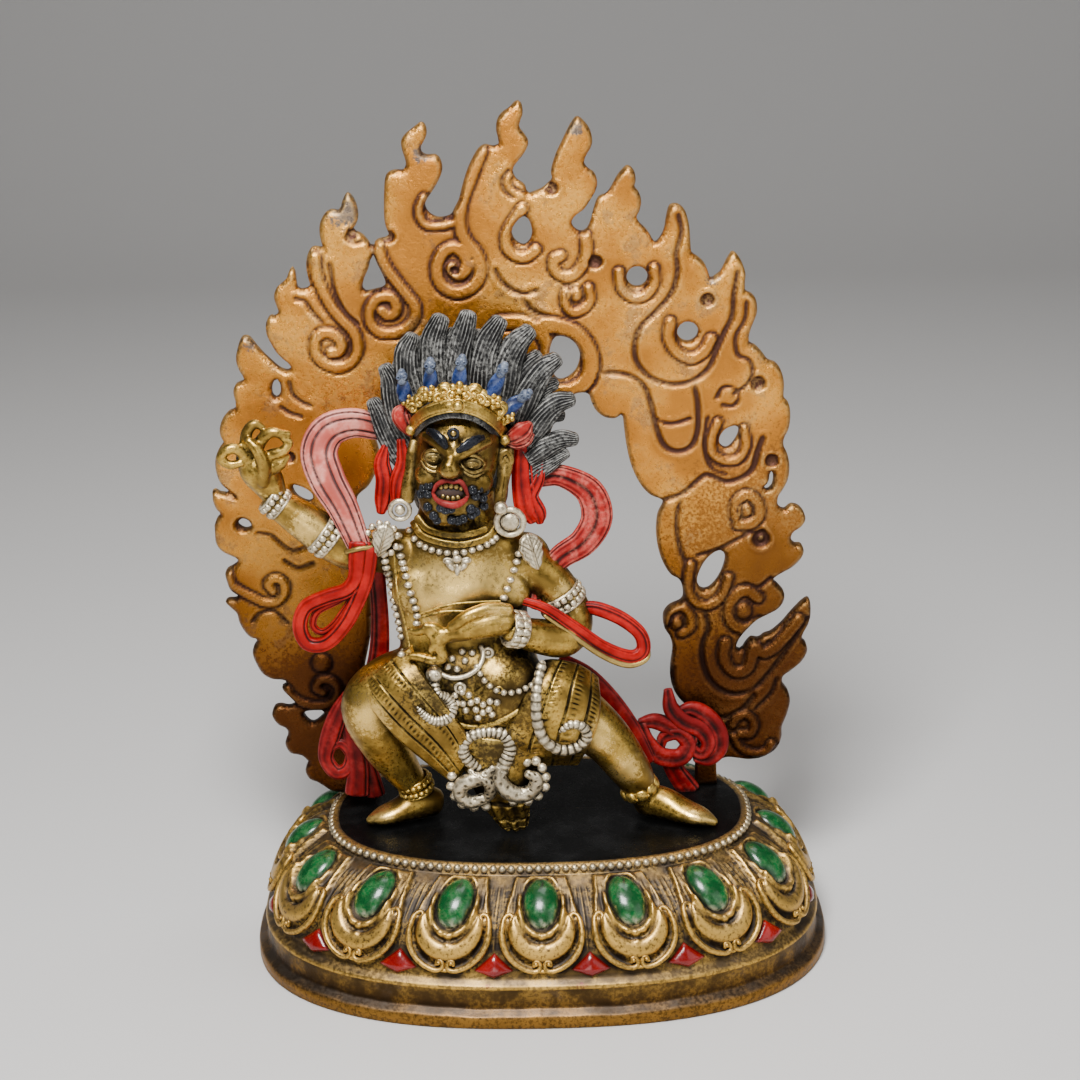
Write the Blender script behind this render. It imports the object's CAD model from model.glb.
"""Looks of the painted brass statue of wrathful Vajrapani on a lotus plinth with a flame aureole.

Sizes in this file are millimetres in the part's own frame: x to the viewer's right, y to the back, z up.
Most routes and outlines are held as places read off the photo, in pixels across and down from its
top left corner. The fit of the photo's camera turns them into millimetres.
"""

import math

import bmesh
import bpy
import numpy as np
from mathutils import Matrix
from mathutils.bvhtree import BVHTree


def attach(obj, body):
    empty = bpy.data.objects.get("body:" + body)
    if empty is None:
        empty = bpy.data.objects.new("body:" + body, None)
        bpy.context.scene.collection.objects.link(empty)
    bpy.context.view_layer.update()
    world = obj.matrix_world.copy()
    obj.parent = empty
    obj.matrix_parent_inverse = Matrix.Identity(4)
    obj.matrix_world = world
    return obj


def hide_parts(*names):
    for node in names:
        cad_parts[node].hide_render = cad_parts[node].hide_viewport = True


bl_info = {
    "name": "Flame aureole statue",
    "version": (1, 0, 0),
    "blender": (4, 5, 0),
    "location": "3D View > Sidebar > Statue",
    "description": "Builds a painted brass guardian figure on a lotus plinth, before a plate of flames",
    "category": "Add Mesh",
}

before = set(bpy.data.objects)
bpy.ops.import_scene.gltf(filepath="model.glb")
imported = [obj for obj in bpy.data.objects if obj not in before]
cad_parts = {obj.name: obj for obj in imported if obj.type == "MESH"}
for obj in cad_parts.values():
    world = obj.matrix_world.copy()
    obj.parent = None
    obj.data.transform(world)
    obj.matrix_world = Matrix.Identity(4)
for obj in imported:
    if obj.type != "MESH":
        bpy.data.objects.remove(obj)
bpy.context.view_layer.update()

MM = 0.001
FRONT = (0, -1, 0)
BEFORE_ALL = -80

# The photo's camera, fitted to the ovals of the plinth, with its focal length in pixels
CAMERA_X = 1.7
CAMERA_Y = -700.0
CAMERA_Z = 378.0
CAMERA_TILT = math.radians(19.4)
CAMERA_ROLL = math.radians(1.1)
FOCUS = 2444.0
PHOTO_MIDDLE = 540

# Plinth
PLINTH_HALF_WIDTH = 90
PLINTH_HALF_DEPTH = 64
OVAL_POWER = 2.46
PLATFORM_TOP = 41.5
STANDING = 41.9
PETAL_COUNT = 16
PETAL_INSET = 12
PETAL_RADIUS = 12.4
PETAL_MIDDLE = 13
SLOPE_LENGTH = 31.4
GRID_AROUND = 840
GRID_SLOPE = 62

# Aureole plate
PLATE_FRONT = 15
PLATE_BACK = 20
PLATE_LEFT = -99.05
PLATE_DEPTHS = (13.85, 19)
PLATE_GRID = 0.7
GRID_X = (-101, 88.5)
GRID_Z = (40, 263.5)
RIM_ROUND = 1.1
BAND_RISE = 0.75


# Lines and grids

def numbers(text, width=2):
    """The numbers written in a text, in rows of that width."""
    return np.array(text.split(), float).reshape(-1, width)


def sizes(text):
    return numbers(text, 1)[:, 0]


def place_at(across, down, y):
    """x and z, to a tenth, of a pixel place in the photo that lies at depth y."""
    u, v = across - PHOTO_MIDDLE, down - PHOTO_MIDDLE
    c, s = np.cos(CAMERA_ROLL), np.sin(CAMERA_ROLL)
    side = (c * u - s * v) / FOCUS
    rise = -(s * u + c * v) / FOCUS
    ahead = np.cos(CAMERA_TILT) + rise * np.sin(CAMERA_TILT)
    up = rise * np.cos(CAMERA_TILT) - np.sin(CAMERA_TILT)
    reach = (y - CAMERA_Y) / ahead
    return round(CAMERA_X + side * reach, 1), round(CAMERA_Z + up * reach, 1)


def words(text):
    """The numbers in each word of a text, where commas join them."""
    return [[float(part) for part in word.split(",")] for word in text.split()]


def seen(text):
    """Points of places in the photo. A word is pixels across, pixels down, and the depth y."""
    points = []
    for across, down, y in words(text):
        x, z = place_at(across, down, y)
        points.append((x, y, z))
    return np.array(points)


def smooth_line(points, closed=False, per=6):
    """Catmull-Rom curve through the points, with per places on each span."""
    p = np.asarray(points, float)
    if closed:
        q = np.vstack([p[-1:], p, p[:2]])
    else:
        q = np.vstack([2 * p[:1] - p[1:2], p, 2 * p[-1:] - p[-2:-1]])
    a, b, c, d = q[:-3, None], q[1:-2, None], q[2:-1, None], q[3:, None]
    t = (np.arange(per) / per)[None, :, None]
    line = 0.5 * (2 * b + (c - a) * t + (2 * a - 5 * b + 4 * c - d) * t**2 + (3 * b - a - 3 * c + d) * t**3)
    line = line.reshape(-1, p.shape[1])
    return line if closed else np.vstack([line, p[-1:]])


def evenly(line, pitch, closed=False):
    """Places a pitch apart along a line, by its running length."""
    if closed:
        line = np.vstack([line, line[:1]])
    run = np.append(0, np.cumsum(np.linalg.norm(np.diff(line, axis=0), axis=1)))
    count = max(2, round(run[-1] / pitch))
    at = np.linspace(0, run[-1], count + 1)[:-1] if closed else np.linspace(0, run[-1], count)
    return np.stack([np.interp(at, run, axis) for axis in line.T], 1)


def ease(x):
    """0 below 0, 1 above 1, and a smooth rise between."""
    x = np.clip(x, 0, 1)
    return x * x * (3 - 2 * x)


def bump_at(x, width):
    """A bell of height 1 at x = 0."""
    return np.exp(-((x / width) ** 2))


def grid_faces(rows, columns, wrap=True):
    """Four-cornered faces of a grid whose columns may close on themselves."""
    r = np.arange(rows - 1)[:, None]
    c = np.arange(columns if wrap else columns - 1)[None, :]
    n = (c + 1) % columns
    corners = [r * columns + c, r * columns + n, (r + 1) * columns + n, (r + 1) * columns + c]
    return np.stack(corners, -1).reshape(-1, 4)


def close_poles(mesh):
    """Joins the points that share one place, so that poles and seams are closed."""
    work = bmesh.new()
    work.from_mesh(mesh)
    bmesh.ops.remove_doubles(work, verts=work.verts, dist=1e-6)
    work.to_mesh(mesh)
    work.free()


def unit(v):
    return v / np.maximum(np.linalg.norm(v, axis=-1, keepdims=True), 1e-9)


class Mould:
    """Gathers points and faces, in millimetres, that become one piece."""

    def __init__(self):
        self.points = []
        self.faces = []
        self.crease = []
        self.count = 0

    def add(self, points, faces, crease=0.0, shell=True):
        """Adds a surface. A closed shell that is inside out is turned."""
        points = np.asarray(points, float).reshape(-1, 3)
        faces = np.asarray(faces)
        if shell:
            a, b, c = points[faces[:, 0]], points[faces[:, 1]], points[faces[:, 2]]
            volume = np.einsum("ij,ij->i", a, np.cross(b, c)).sum()
            if faces.shape[1] == 4:
                d = points[faces[:, 3]]
                volume += np.einsum("ij,ij->i", a, np.cross(c, d)).sum()
            if volume < 0:
                faces = faces[:, ::-1]
        self.points.append(points)
        self.faces.append(faces + self.count)
        self.crease.append(np.broadcast_to(np.asarray(crease, float).reshape(-1), (len(points),)))
        self.count += len(points)

    def cast(self, name, slot, finish, replaces=None):
        """Makes the piece, which rides with the statue."""
        mesh = bpy.data.meshes.new(name)
        faces = [face for block in self.faces for face in block.tolist()]
        mesh.from_pydata((np.vstack(self.points) * MM).tolist(), [], faces)
        layer = mesh.attributes.new("crease", "FLOAT", "POINT")
        layer.data.foreach_set("value", np.concatenate(self.crease).astype(np.float32))
        close_poles(mesh)
        mesh.polygons.foreach_set("use_smooth", np.ones(len(mesh.polygons), bool))
        mesh.materials.append(finish)
        mesh.update()
        piece = bpy.data.objects.new(name, mesh)
        bpy.context.scene.collection.objects.link(piece)
        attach(piece, "root")
        if replaces:
            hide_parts(replaces)
        return piece


# Shapes

def spread(sizes, count, per):
    """Sizes given along a route, smoothed on the same spans as the route itself."""
    sizes = np.atleast_1d(np.asarray(sizes, float))
    spans = np.interp(np.linspace(0, 1, count), np.linspace(0, 1, len(sizes)), sizes)
    return smooth_line(spans[:, None], False, per)[:, 0]


def sweep(mould, route, wide, thick=None, around=12, per=6, face=FRONT, caps=(1, 1), power=2, carve=None,
          crease=None):
    """An oval section carried along a smooth route.

    A point is the centre, plus the sideways direction times wide times cos a, plus the outward
    direction times thick times sin a. A power above 2 squares the section. Caps round the ends
    off by that many end thicknesses. carve(u, a) adds a height along and round the section.
    """
    route = np.asarray(route, float)
    line = smooth_line(route, False, per)
    wide = spread(wide, len(route), per)
    thick = wide if thick is None else spread(thick, len(route), per)
    u = np.linspace(0, 1, len(line))
    ahead = unit(np.gradient(line, axis=0))
    look = np.asarray(face, float)
    if look.ndim == 2:
        look = smooth_line(look, False, per)
    side = unit(np.cross(ahead, look))
    out = np.cross(side, ahead)
    turns = np.radians([90, 65, 40, 18])

    def cap(k, sign, size):
        reach = size * min(wide[k], thick[k])
        centre = line[k] + sign * ahead[k] * reach * np.sin(turns)[:, None]
        return centre, np.cos(turns)

    first, first_scale = cap(0, -1, caps[0])
    last, last_scale = cap(-1, 1, caps[1])
    many = len(turns)
    line = np.vstack([first, line, last[::-1]])
    scale = np.concatenate([first_scale, np.ones(len(u)), last_scale[::-1]])
    ends = [np.repeat(x[:1], many, 0) for x in (side, out)], [np.repeat(x[-1:], many, 0) for x in (side, out)]
    side = np.vstack([ends[0][0], side, ends[1][0]])
    out = np.vstack([ends[0][1], out, ends[1][1]])
    wide = np.concatenate([np.full(many, wide[0]), wide, np.full(many, wide[-1])]) * scale
    thick = np.concatenate([np.full(many, thick[0]), thick, np.full(many, thick[-1])]) * scale
    u = np.concatenate([np.zeros(many), u, np.ones(many)])[:, None]
    a = np.linspace(0, 2 * np.pi, around, endpoint=False)[None, :]
    c = np.sign(np.cos(a)) * np.abs(np.cos(a)) ** (2 / power)
    s = np.sign(np.sin(a)) * np.abs(np.sin(a)) ** (2 / power)
    points = line[:, None] + side[:, None] * (wide[:, None] * c)[..., None]
    points = points + out[:, None] * (thick[:, None] * s)[..., None]
    dark = 0.0
    if carve is not None:
        height = np.broadcast_to(carve(u, a), points.shape[:2]) * scale[:, None]
        radial = side[:, None] * (np.cos(a) * thick[:, None])[..., None]
        radial = unit(radial + out[:, None] * (np.sin(a) * wide[:, None])[..., None])
        points = points + radial * height[..., None]
        dark = np.clip(-height * 1.6, 0, 1)
    if crease is not None:
        dark = np.clip(dark + np.broadcast_to(crease(u, a), points.shape[:2]), 0, 1)
    mould.add(points, grid_faces(len(line), around), dark)


def search_trees(names):
    """Search trees over the faces of the named pieces, in millimetres."""
    trees = []
    for name in names:
        mesh = bpy.data.objects[name].data
        places = np.empty(len(mesh.vertices) * 3, np.float32)
        mesh.vertices.foreach_get("co", places)
        faces = [tuple(face.vertices) for face in mesh.polygons]
        trees.append(BVHTree.FromPolygons((places.reshape(-1, 3) / MM).tolist(), faces))
    return trees


def front_of(tree, x, z):
    """Place where a ray from the front first meets a piece, or None."""
    return tree.ray_cast((x, BEFORE_ALL, z), (0, 1, 0))[0]


def laid(points, trees, lift=0.0, reach=9.0, soften=0):
    """Points moved in depth onto the front of the pieces, and lifted off it."""
    points = np.array(points, float)
    for point in points:
        hits = [front_of(tree, point[0], point[2]) for tree in trees]
        depths = [hit.y for hit in hits if hit is not None]
        if depths and abs(min(depths) - point[1]) < reach:
            point[1] = min(depths) - lift
    for _ in range(soften):
        points[1:-1, 1] = (points[:-2, 1] + 2 * points[1:-1, 1] + points[2:, 1]) / 4
    return points


def ball_net(around=10, rows=6):
    """Points of a unit ball and its faces."""
    tilt = np.linspace(0, np.pi, rows + 1)[:, None]
    turn = np.linspace(0, 2 * np.pi, around, endpoint=False)[None, :]
    net = np.stack([np.sin(tilt) * np.cos(turn), np.sin(tilt) * np.sin(turn), np.cos(tilt) + 0 * turn], -1)
    return net.reshape(-1, 3), grid_faces(rows + 1, around)


def balls(mould, centres, radii, around=10, rows=6, turn=None, crease=0.0):
    """Copies of one ball, stretched by radii and turned by a matrix, at each centre."""
    net, faces = ball_net(around, rows)
    net = net * np.asarray(radii, float)
    if turn is not None:
        net = net @ np.asarray(turn).T
    for centre in np.atleast_2d(np.asarray(centres, float)):
        mould.add(net + centre, faces, crease)


# The aureole as the photo shows it: places of its outline, clockwise from the foot on the viewer's
# left, and of its holes, raised bands, cut lines, pits and bosses. Half widths and radii are millimetres

OUTLINE = """
352,790 340,790.5 332,789 325,785 318,780.5 310,777.5 306,770 307,764.5 309,761
305,756 300,753.5 292,752 287.5,747.5 285.5,741 287.5,736 288.5,730
285,726 280,724 275,719 272.5,712.5 275,706 281,704 289,705.5 296,703
293,698.5 288.5,694 284.5,690 282.5,686 286,683.5 287,680.5
282.5,678.5 272.5,677.5 263.5,672.5 257.5,663.5 253.5,653.5 254,646 258,638.5
251,636 245,630 240,621 237.5,612.5 231,606 226,601 229,598.5 236,598 239,595
235,592 230,587.5 227,579 225.5,572.5 228,568.5 233,566 238,561.5 237.5,557.5
232.5,555 224,551 216,545 211.5,535 212,525 216,517.5 221.5,513.5
215,507.5 211,500 209,493.5 211,489.5 215,489.5 220.5,492 228,493 236,495.5
230,490 221.5,482.5 217,473 215,464 216,455 220,447 224,441.5
221,435 220,427.5 222.5,419 229,411.5 235.5,408.5
236,401.5 234,394 234,388 237,383.5 244,380
243,375 240,370 237,363 236.5,356 238,347 240.5,339 244.5,335.5 250,337.5 255.5,344 263,352.5 272,361
280,367.5 287,370 291.5,367.5
289,362.5 283,358 276.5,351 271.5,343 267.5,335 266,327 267,320 270.5,315.5 275,316 279,311.5 276.5,304
274.5,296.5 276,289 281.5,283.5 286.5,279 288.5,273 291.5,267.5 294.5,270 296,276 296.5,283 299,288.5
306,288.5 310.5,285.5
309,279 307,270 306.5,261.5 308,253 312,247.5 317,246.5 323,247 321.5,241.5 320,233 320,223.5 323,216
328,211 333,209.5 338.5,210.5 341,206 342.5,200 346.5,193 351,195 355,201.5 358,211.5 357.5,220 354.5,226
351,231 356.5,231.5 362.5,235 368.5,241.5 372.5,247.5
375.5,241 381,238.5 386,237.5 389,234
386.5,227 384.5,218 384,200 384.5,185 385.5,176.5 389,172 395,170 403.5,169.5 406,162 402.5,150 401,141
405,134.5 412,129 416.5,125 421,121.5 425,125 426.5,132 425,138 421,146 421.5,152 427,155 436,155 441,161
442,170 438.5,180 432.5,190 428,197 425,204 427.5,211 434,216 441,217.5 450.5,215
454,208.5 459,199 461.5,189 464.5,178 468,167 472.5,157.5 478,149 484,144.5 493,146 498.5,144 498,137
496,128 497.5,117.5 502.5,109 509,103.5 514.5,96.5 518.5,95 521.5,100 522.5,110 520,120 519,127 523.5,133
528,140 527.5,146 522.5,155 516,162.5 512.5,169.5 515.5,178 521,182 525.5,186 527,193.5
532,192.5 542,188 548,183 552,178.5 551,172 552.5,164 556.5,152 563.5,137.5 570,125 576.5,115 583,120
589,128 592,138 591,146.5 586,155 584,162.5 588,168.5 594,172.5 597,180 596,188 592,196 584,208 575,215
571.5,221 573.5,227 580,231 586.5,229 590.5,220 593.5,209
598,197 606,193.5 610.5,188 614.5,180 620,172 627.5,165.5 634,171 635.5,180 634,186 638.5,192 641,200
639.5,210 636.5,216 639,222.5 645,228 650,234.5 654.5,242
660,237.5 664,229 666,217.5 669,206.5 675,203.5 681.5,206 686,213 689,226 690,240 691.5,252
697,256 703.5,262 707.5,269.5 710.5,278
716,275 720.5,271.5 724,264.5 728.5,256 733.5,251.5 740.5,259.5 745,271.5 744.5,282 745,290.5 751.5,293.5
756,300 756.5,312 752.5,323 749,333 749,342
755,345 761,351 767.5,359.5 775,362.5 781,370 783.5,382 783.5,396.5
788.5,403 790,415 788,428 783.5,438 783.5,446
787,453 789,465 787.5,478 782.5,488 777.5,496 778,505
784,508.5 790.5,504 798,505.5 803.5,511.5 805,519 800.5,526 793,531 790.5,537.5
794,543 800.5,543.5 803.5,549.5 800.5,557.5 791.5,566 780,572.5 772.5,578.5
778.5,585 784,592 783,600 777.5,607.5 767.5,613 756,619 748.5,626 742,633 737.5,640 736,647 741,648.5
745.5,642 751,637 758,637.5 764,633.5
771,631 781,622.5 790,612.5 797.5,604.5 803,599.5 808.5,597.5 812.5,601 813,612.5 809,622.5 803,632
801.5,638
805.5,642 807.5,650 801,660 790.5,669 782.5,675
782.5,682.5 787.5,690 789.5,700 786,714 781.5,725 781,736 775,747.5 763,755 750,757.5 737.5,756.5
727.5,755.5 716,757
702,745 706,728 700,716 685,703 675.5,692 670.5,678 670.5,663 672.5,648 670,636 664,626 663,614 669.5,605
681.5,599 682.5,588 679,578 670,572.5 662.5,560 657.5,545 656,530 657.5,514 663,500
650,493.5 640,482.5 631.5,465 626.5,445 624,428 622,414
615,417 605,416 596.5,410 591.5,401 588,392.5
578,392 568,395.5 556,393 545,385 530,365 505,345 475,335 445,335 420,345 402,362 388,385 378,410 373,430
379,450 377,468 369,484 357,497 360,520 367,550 371,590 371,630 365,665 360,700 362,735 360,765
"""
HOLES = [
    "526,216 530,221 532,231 530,240 523.5,244.5 515.5,240.5 511.5,232 514.5,223.5 521,216.5",
    "374,254 377,262 382,272 385.5,281 384,286.5 376,289 366,291 362.5,287 364,278 368.5,268 370.5,260",
    "554,337 565,336 575,342 580,354 577,368 568,377 558,379 552,370 549,355",
    "735.5,424.5 738.5,431 734,441 727,447.5 720.5,445 719,437.5 724.5,428.5",
    "722,549.5 725,559 719,575.5 709,587 700,587.5 697,577 704,560.5 714,551",
    "276.5,378 280.5,383 281,391 277,397 272.5,393 272.5,384",
    "293,484 304,486.5 313,493.5 311,501 302,499 295,493",
    "304,711 314,709 325.5,710 321,716.5 313.5,721.5 307.5,718",
    "238,523 242,517.5 249,519.5 252,526 245,528",
    "763,486 768,481 770,470 773,474 772,484 767,489",
]
ROUND_HOLES = [
    ("637,276", 3.2), ("687.5,331", 3.2),
]
BANDS = [
    (1.7, "481,150 472,173 461.5,203 460.5,225 466,239 477.5,254 480,272 471,286 456,290.5 442,283 "
     "437,267 443,251 455,246 465,254 466.5,266 459,273 452,266"),
    (1.1, "424,196 419.5,207 421,217.5 428,224 440,224.5 451,222"),
    (1.5, "522,207 512,222 506,235 507.5,247 516,254.5 526.5,255 535.5,248"),
    (1.5, "585,234 586.5,247 582,263 573,273.5 562,274.5 554,267.5 554,257.5 560.5,254"),
    (1.3, "588.5,286 590,298 582.5,307.5 571,309.5 564.5,300 566,290"),
    (2.3, "545,322 558,324 575,331 587.5,346 590.5,364 585,380 571,389 556,390"),
    (2.0, "500,321 518,320 534,325 545,338 548,354 541,366"),
    (1.5, "670,320 668,335 675.5,349 690,356.5 703,350 710.5,337"),
    (1.3, "619,270 621,286 632,296 645,293.5 654,281 653.5,266"),
    (1.2, "717.5,420 711,435 711.5,450 723,458 737,457 745,444 743.5,427"),
    (1.3, "690,562 687,585 695.5,599.5 710,602 722,592 728,575"),
    (1.7, "757,595 745,588 733,595 728,610 734,622.5 746,626 758,620"),
    (1.7, "725,640 723,652.5 728,665 738,670 747.5,665 751,653 754,645 762.5,650 773,645 785,632.5 "
     "798,617"),
    (1.5, "378,243 381.5,255 388,268 397,280 407,293 415,304 415,316 406.5,326.5 393,331.5 380,330 "
     "371.5,321.5 370,310 374.5,300 382,295 391.5,295.5 397,303.5 395,311.5 388,313.5 382,309"),
    (1.5, "315,256 317,272 323,288 332,305 343,318 354,330 358.5,345 353,358.5 341,365 327,362 317,352 "
     "316,338 324,331 335,333 342,341 340,349 332,350.5"),
    (1.3, "229,571 232,581 241,588 253,594 265,599.5 277,599 285,590.5 284.5,580 276,575.5 269,581 "
     "274,588"),
    (1.3, "287,686 294,695 306,701 322,703 335,697 339,686 332.5,677.5 321,677.5 317,685 324,689"),
    (1.5, "735,513 736,500 746,492.5 757,500 758,514 748,521.5 737,522"),
    (1.3, "731,722 736,714 747,712 753,721 749,731 740,731"),
    (1.2, "733,734 740,745 752,750 765,748 771,740"),
    (1.3, "664,620 668,609 680,604 689,611 690,624 681,631"),
]
GROOVES = [
    (0.7, "508,169 502,178 504,188 512,196"),
    (0.5, "513,172 511,180 516,187 523,190"),
    (0.7, "495,268 502.5,280.5 513,289 525,292 536,289"),
    (0.9, "523,296 532,309 552,316 573,325 588,339 597,357 597,371 592,384 580,391"),
    (0.9, "678,214 681,230 675.5,252 676.5,270 670,292 655,310 640,325 634,342 636.5,360 650,375 670,382 "
     "690,379.5 707,367 715,350 723,332 731,315 733,293 737,270"),
    (0.9, "603,371 625,372.5 642,382 650,400 655,422 663,442 676,449 690,444 697,427 697,400 694,385"),
    (0.7, "655.5,417 668,421.5 680,419.5 690,416"),
    (1.0, "665,497 682.5,491 695,480 707,472.5 725,479.5 742,475 752.5,465 756.5,450 762,436"),
    (0.7, "707,415 704,432 705.5,452 712,466 725,472"),
    (0.7, "680,498 676.5,510 676.5,530 680,548 686,561"),
    (0.7, "697,553 717,547 735,537.5 751,528"),
    (0.7, "733,510 735.5,524 748,529.5 762,528"),
    (1.0, "671,665 673,687 685,702 705,713 725,714.5 742,705.5 753,692"),
    (0.9, "704,607 707.5,625 702,640 702,657.5 708,675 720,687 735,691 752.5,686 768,670 783,650 796,632 "
     "807,615"),
    (0.7, "290,380 293,391.5 302,400 311,403.5"),
    (0.7, "282,405 292,411.5 302,414"),
    (0.7, "253.5,619 261,610.5 275,608.5 288,620"),
    (0.7, "259,531 272,533 284,543 294,548 306,545"),
    (0.7, "285,558 299,565 314,560"),
    (0.7, "746,300 744,318 735,335 737,352 748,358 752,368 746,382 733,392"),
    (0.7, "716,396 722,386 733,386 738,394 733,404 722,403"),
    (0.7, "770,575 757,585 744,582"),
    (0.7, "296,297 306,300 312,309 322,320"),
    (0.7, "330,262 335,290 345,310 358,322"),
    (0.7, "346,236 352,241 362,240"),
    (0.7, "752,640 762,645 768,638"),
    (0.7, "755,705 770,690 776,676"),
]
PITS = [
    ("551,187", 2.0), ("707,298", 2.0), ("757,381", 2.3), ("760,536", 2.7), ("771,458", 2.0),
    ("595,260", 2.0), ("352,233", 1.7), ("388,235", 2.0), ("645,222", 1.3), ("290,455", 1.7),
    ("243,523", 2.3), ("455,268", 1.3),
]
BOSSES = [
    ("575,292", 2.2), ("322.5,660", 3.0), ("745,507", 2.3), ("742,608", 2.7), ("760,536", 1.3),
    ("676,620", 2.0),
]


# Plinth: places on its sloping side

def oval(turn, inset):
    """Point of the plinth's oval, a superellipse, at a turn and an inset from its outer edge."""
    c, s = np.cos(turn), np.sin(turn)
    x = (PLINTH_HALF_WIDTH - inset) * np.sign(c) * np.abs(c) ** (2 / OVAL_POWER)
    y = (PLINTH_HALF_DEPTH - inset) * np.sign(s) * np.abs(s) ** (2 / OVAL_POWER)
    return x, y


def oval_lengths(inset):
    """Turns from the front round the oval, and the running length at each."""
    turns = np.linspace(-np.pi / 2, 1.5 * np.pi, 2881)
    x, y = oval(turns, inset)
    return turns, np.append(0, np.cumsum(np.hypot(np.diff(x), np.diff(y))))


TURNS, LENGTHS = oval_lengths(PETAL_INSET)
PITCH = LENGTHS[-1] / PETAL_COUNT

# Up the side: inset and height of the stepped foot, of the slope that carries the petals, and of the rim
FOOT = numbers("""0.5 0  0 0.5  0 3.6  0.5 4.3  2.4 5.1  3 5.9  2.8 6.8  3 7.6
3 11.2  2.5 12  3 12.9  4.4 13.8""")
SLOPE = numbers("5 15  6.4 19.6  8.5 24.5  10.7 28.4  14 32  18.6 35.6  23.6 38.6")
RIM = numbers("24.1 38.9  24.3 41  25 41.6  26.2 41.8  27 41.5")

# Ends of a petal's C-scroll: sideways and up the slope
SCROLL_FOOT = "2.3 3.6  2 4.7  1.1 4.7  0.6 3.4  1.1 2.2"
SCROLL_HOOK = "11.4 14.8  10.9 17  9.6 17.9  8.6 17.2  9.1 16.2"


def side_profile():
    """The side's rows as inset and height, with slope length 0 at the foot of the petals."""
    slope = evenly(smooth_line(SLOPE, per=20), SLOPE_LENGTH / GRID_SLOPE)
    rows = np.vstack([FOOT, slope, RIM])
    run = np.append(0, np.cumsum(np.hypot(*np.diff(rows, axis=0).T)))
    return rows, run - run[len(FOOT)]


ROWS, ROW_RUN = side_profile()
ROW_AHEAD = unit(np.gradient(ROWS, axis=0))


def on_side(along, up, proud):
    """Points on the plinth's side: a length round the oval, a length up the slope, and a height off it."""
    turn = np.interp(np.mod(along, LENGTHS[-1]), LENGTHS, TURNS)
    inset = np.interp(up, ROW_RUN, ROWS[:, 0])
    z = np.interp(up, ROW_RUN, ROWS[:, 1])
    lean = np.interp(up, ROW_RUN, ROW_AHEAD[:, 1]), np.interp(up, ROW_RUN, ROW_AHEAD[:, 0])
    x, y = oval(turn, inset)
    wide, deep = PLINTH_HALF_WIDTH - inset, PLINTH_HALF_DEPTH - inset
    outx = np.sign(x) * np.abs(x / wide) ** (OVAL_POWER - 1) / wide
    outy = np.sign(y) * np.abs(y / deep) ** (OVAL_POWER - 1) / deep
    size = np.hypot(outx, outy)
    level = lean[0] * proud
    return np.stack([x + outx / size * level, y + outy / size * level, z + lean[1] * proud], -1)


def petal_relief(s, w):
    """Height and darkness of the carving at s sideways and w up the slope from a petal's middle.

    The petal is a disc whose sides run on up the slope. On it lie a broad crescent
    and a cupped seat for the jewel; fine ribs run up the slope beside and between them.
    """
    sides = np.interp(w, [PETAL_MIDDLE, SLOPE_LENGTH], [PETAL_RADIUS, 8.8]) - np.abs(s)
    edge = np.where(w < PETAL_MIDDLE, PETAL_RADIUS - np.hypot(s, w - PETAL_MIDDLE), sides)
    height = 1.5 * ease(edge / 0.9)
    low = ease((17.5 - w) / 1.5)
    groove = bump_at(edge - 2.3, 0.65) * low
    e = np.hypot(s / 7.9, (w - 15.5) / 8.3)
    away = np.where(w < 15.5, (e - 1) * 8.1, np.abs(s) - 7.9)
    ends = ease((18.8 - w - 1.5 * np.sin(away)) / 1.2)
    crescent = np.sqrt(np.clip(1 - (away / 2.7) ** 2, 0, 1)) * ends
    j = np.hypot(s / 6.5, (w - 21.4) / 8.9)
    seat = (j - 1) * 7.2
    cupped = ease((25 - w) / 3)
    cup = bump_at(seat - 0.3, 0.85) * cupped
    moat = bump_at(seat - 1.9, 0.5) * cupped
    seated = ease(-seat / 0.8)
    lobes = ease((1.5 - np.hypot(np.abs(s) - 2.3, w - 12.3)) / 0.8)
    beak = ease((1.6 - np.hypot(s * 1.2, (w - 10.6) * 0.7)) / 0.9)
    tip = ease((1.7 - np.hypot(s, w - 1.9)) / 1.0)
    brow = bump_at(seat - 0.4, 0.5) * ease((w - 27) / 2)
    height = height - 0.7 * groove + 1.5 * crescent * (1 - seated) - 0.5 * moat
    height = height + 1.1 * cup - 0.7 * seated + 0.5 * lobes + 0.7 * beak + 0.5 * tip + 0.7 * brow
    between = ease(-edge / 0.6) * ease((w - 6) / 3) * ease((28.5 - w) / 2.5)
    height = height + between * 0.24 * np.sin(2 * np.pi * s / 1.55)
    upper = ease((w - 19) / 2) * (1 - seated) * (1 - cup) * ease(edge / 0.6) * ease((28.5 - w) / 2.5)
    height = height + upper * 0.14 * np.sin(2 * np.pi * s / 1.5)
    outer = ease((w - 13) / 2) * bump_at(edge - 0.7, 0.5)
    height = height + 0.35 * outer
    dark = 0.85 * groove + 0.7 * moat + 0.75 * between + 0.7 * seated + 0.35 * upper * (1 - outer)
    dark = dark + 0.7 * bump_at(edge + 0.4, 0.7) - 1.3 * crescent**2 - 0.7 * cup
    dark = dark - 0.6 * beak - 0.6 * tip - 0.4 * outer
    dark = dark + 0.9 * bump_at(np.abs(away) - 2.95, 0.4) * low * (1 - cup)
    fade = ease(w / 1.2) * ease((31.2 - w) / 1.5)
    return height * fade, np.clip(dark, -1, 1) * fade


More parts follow.
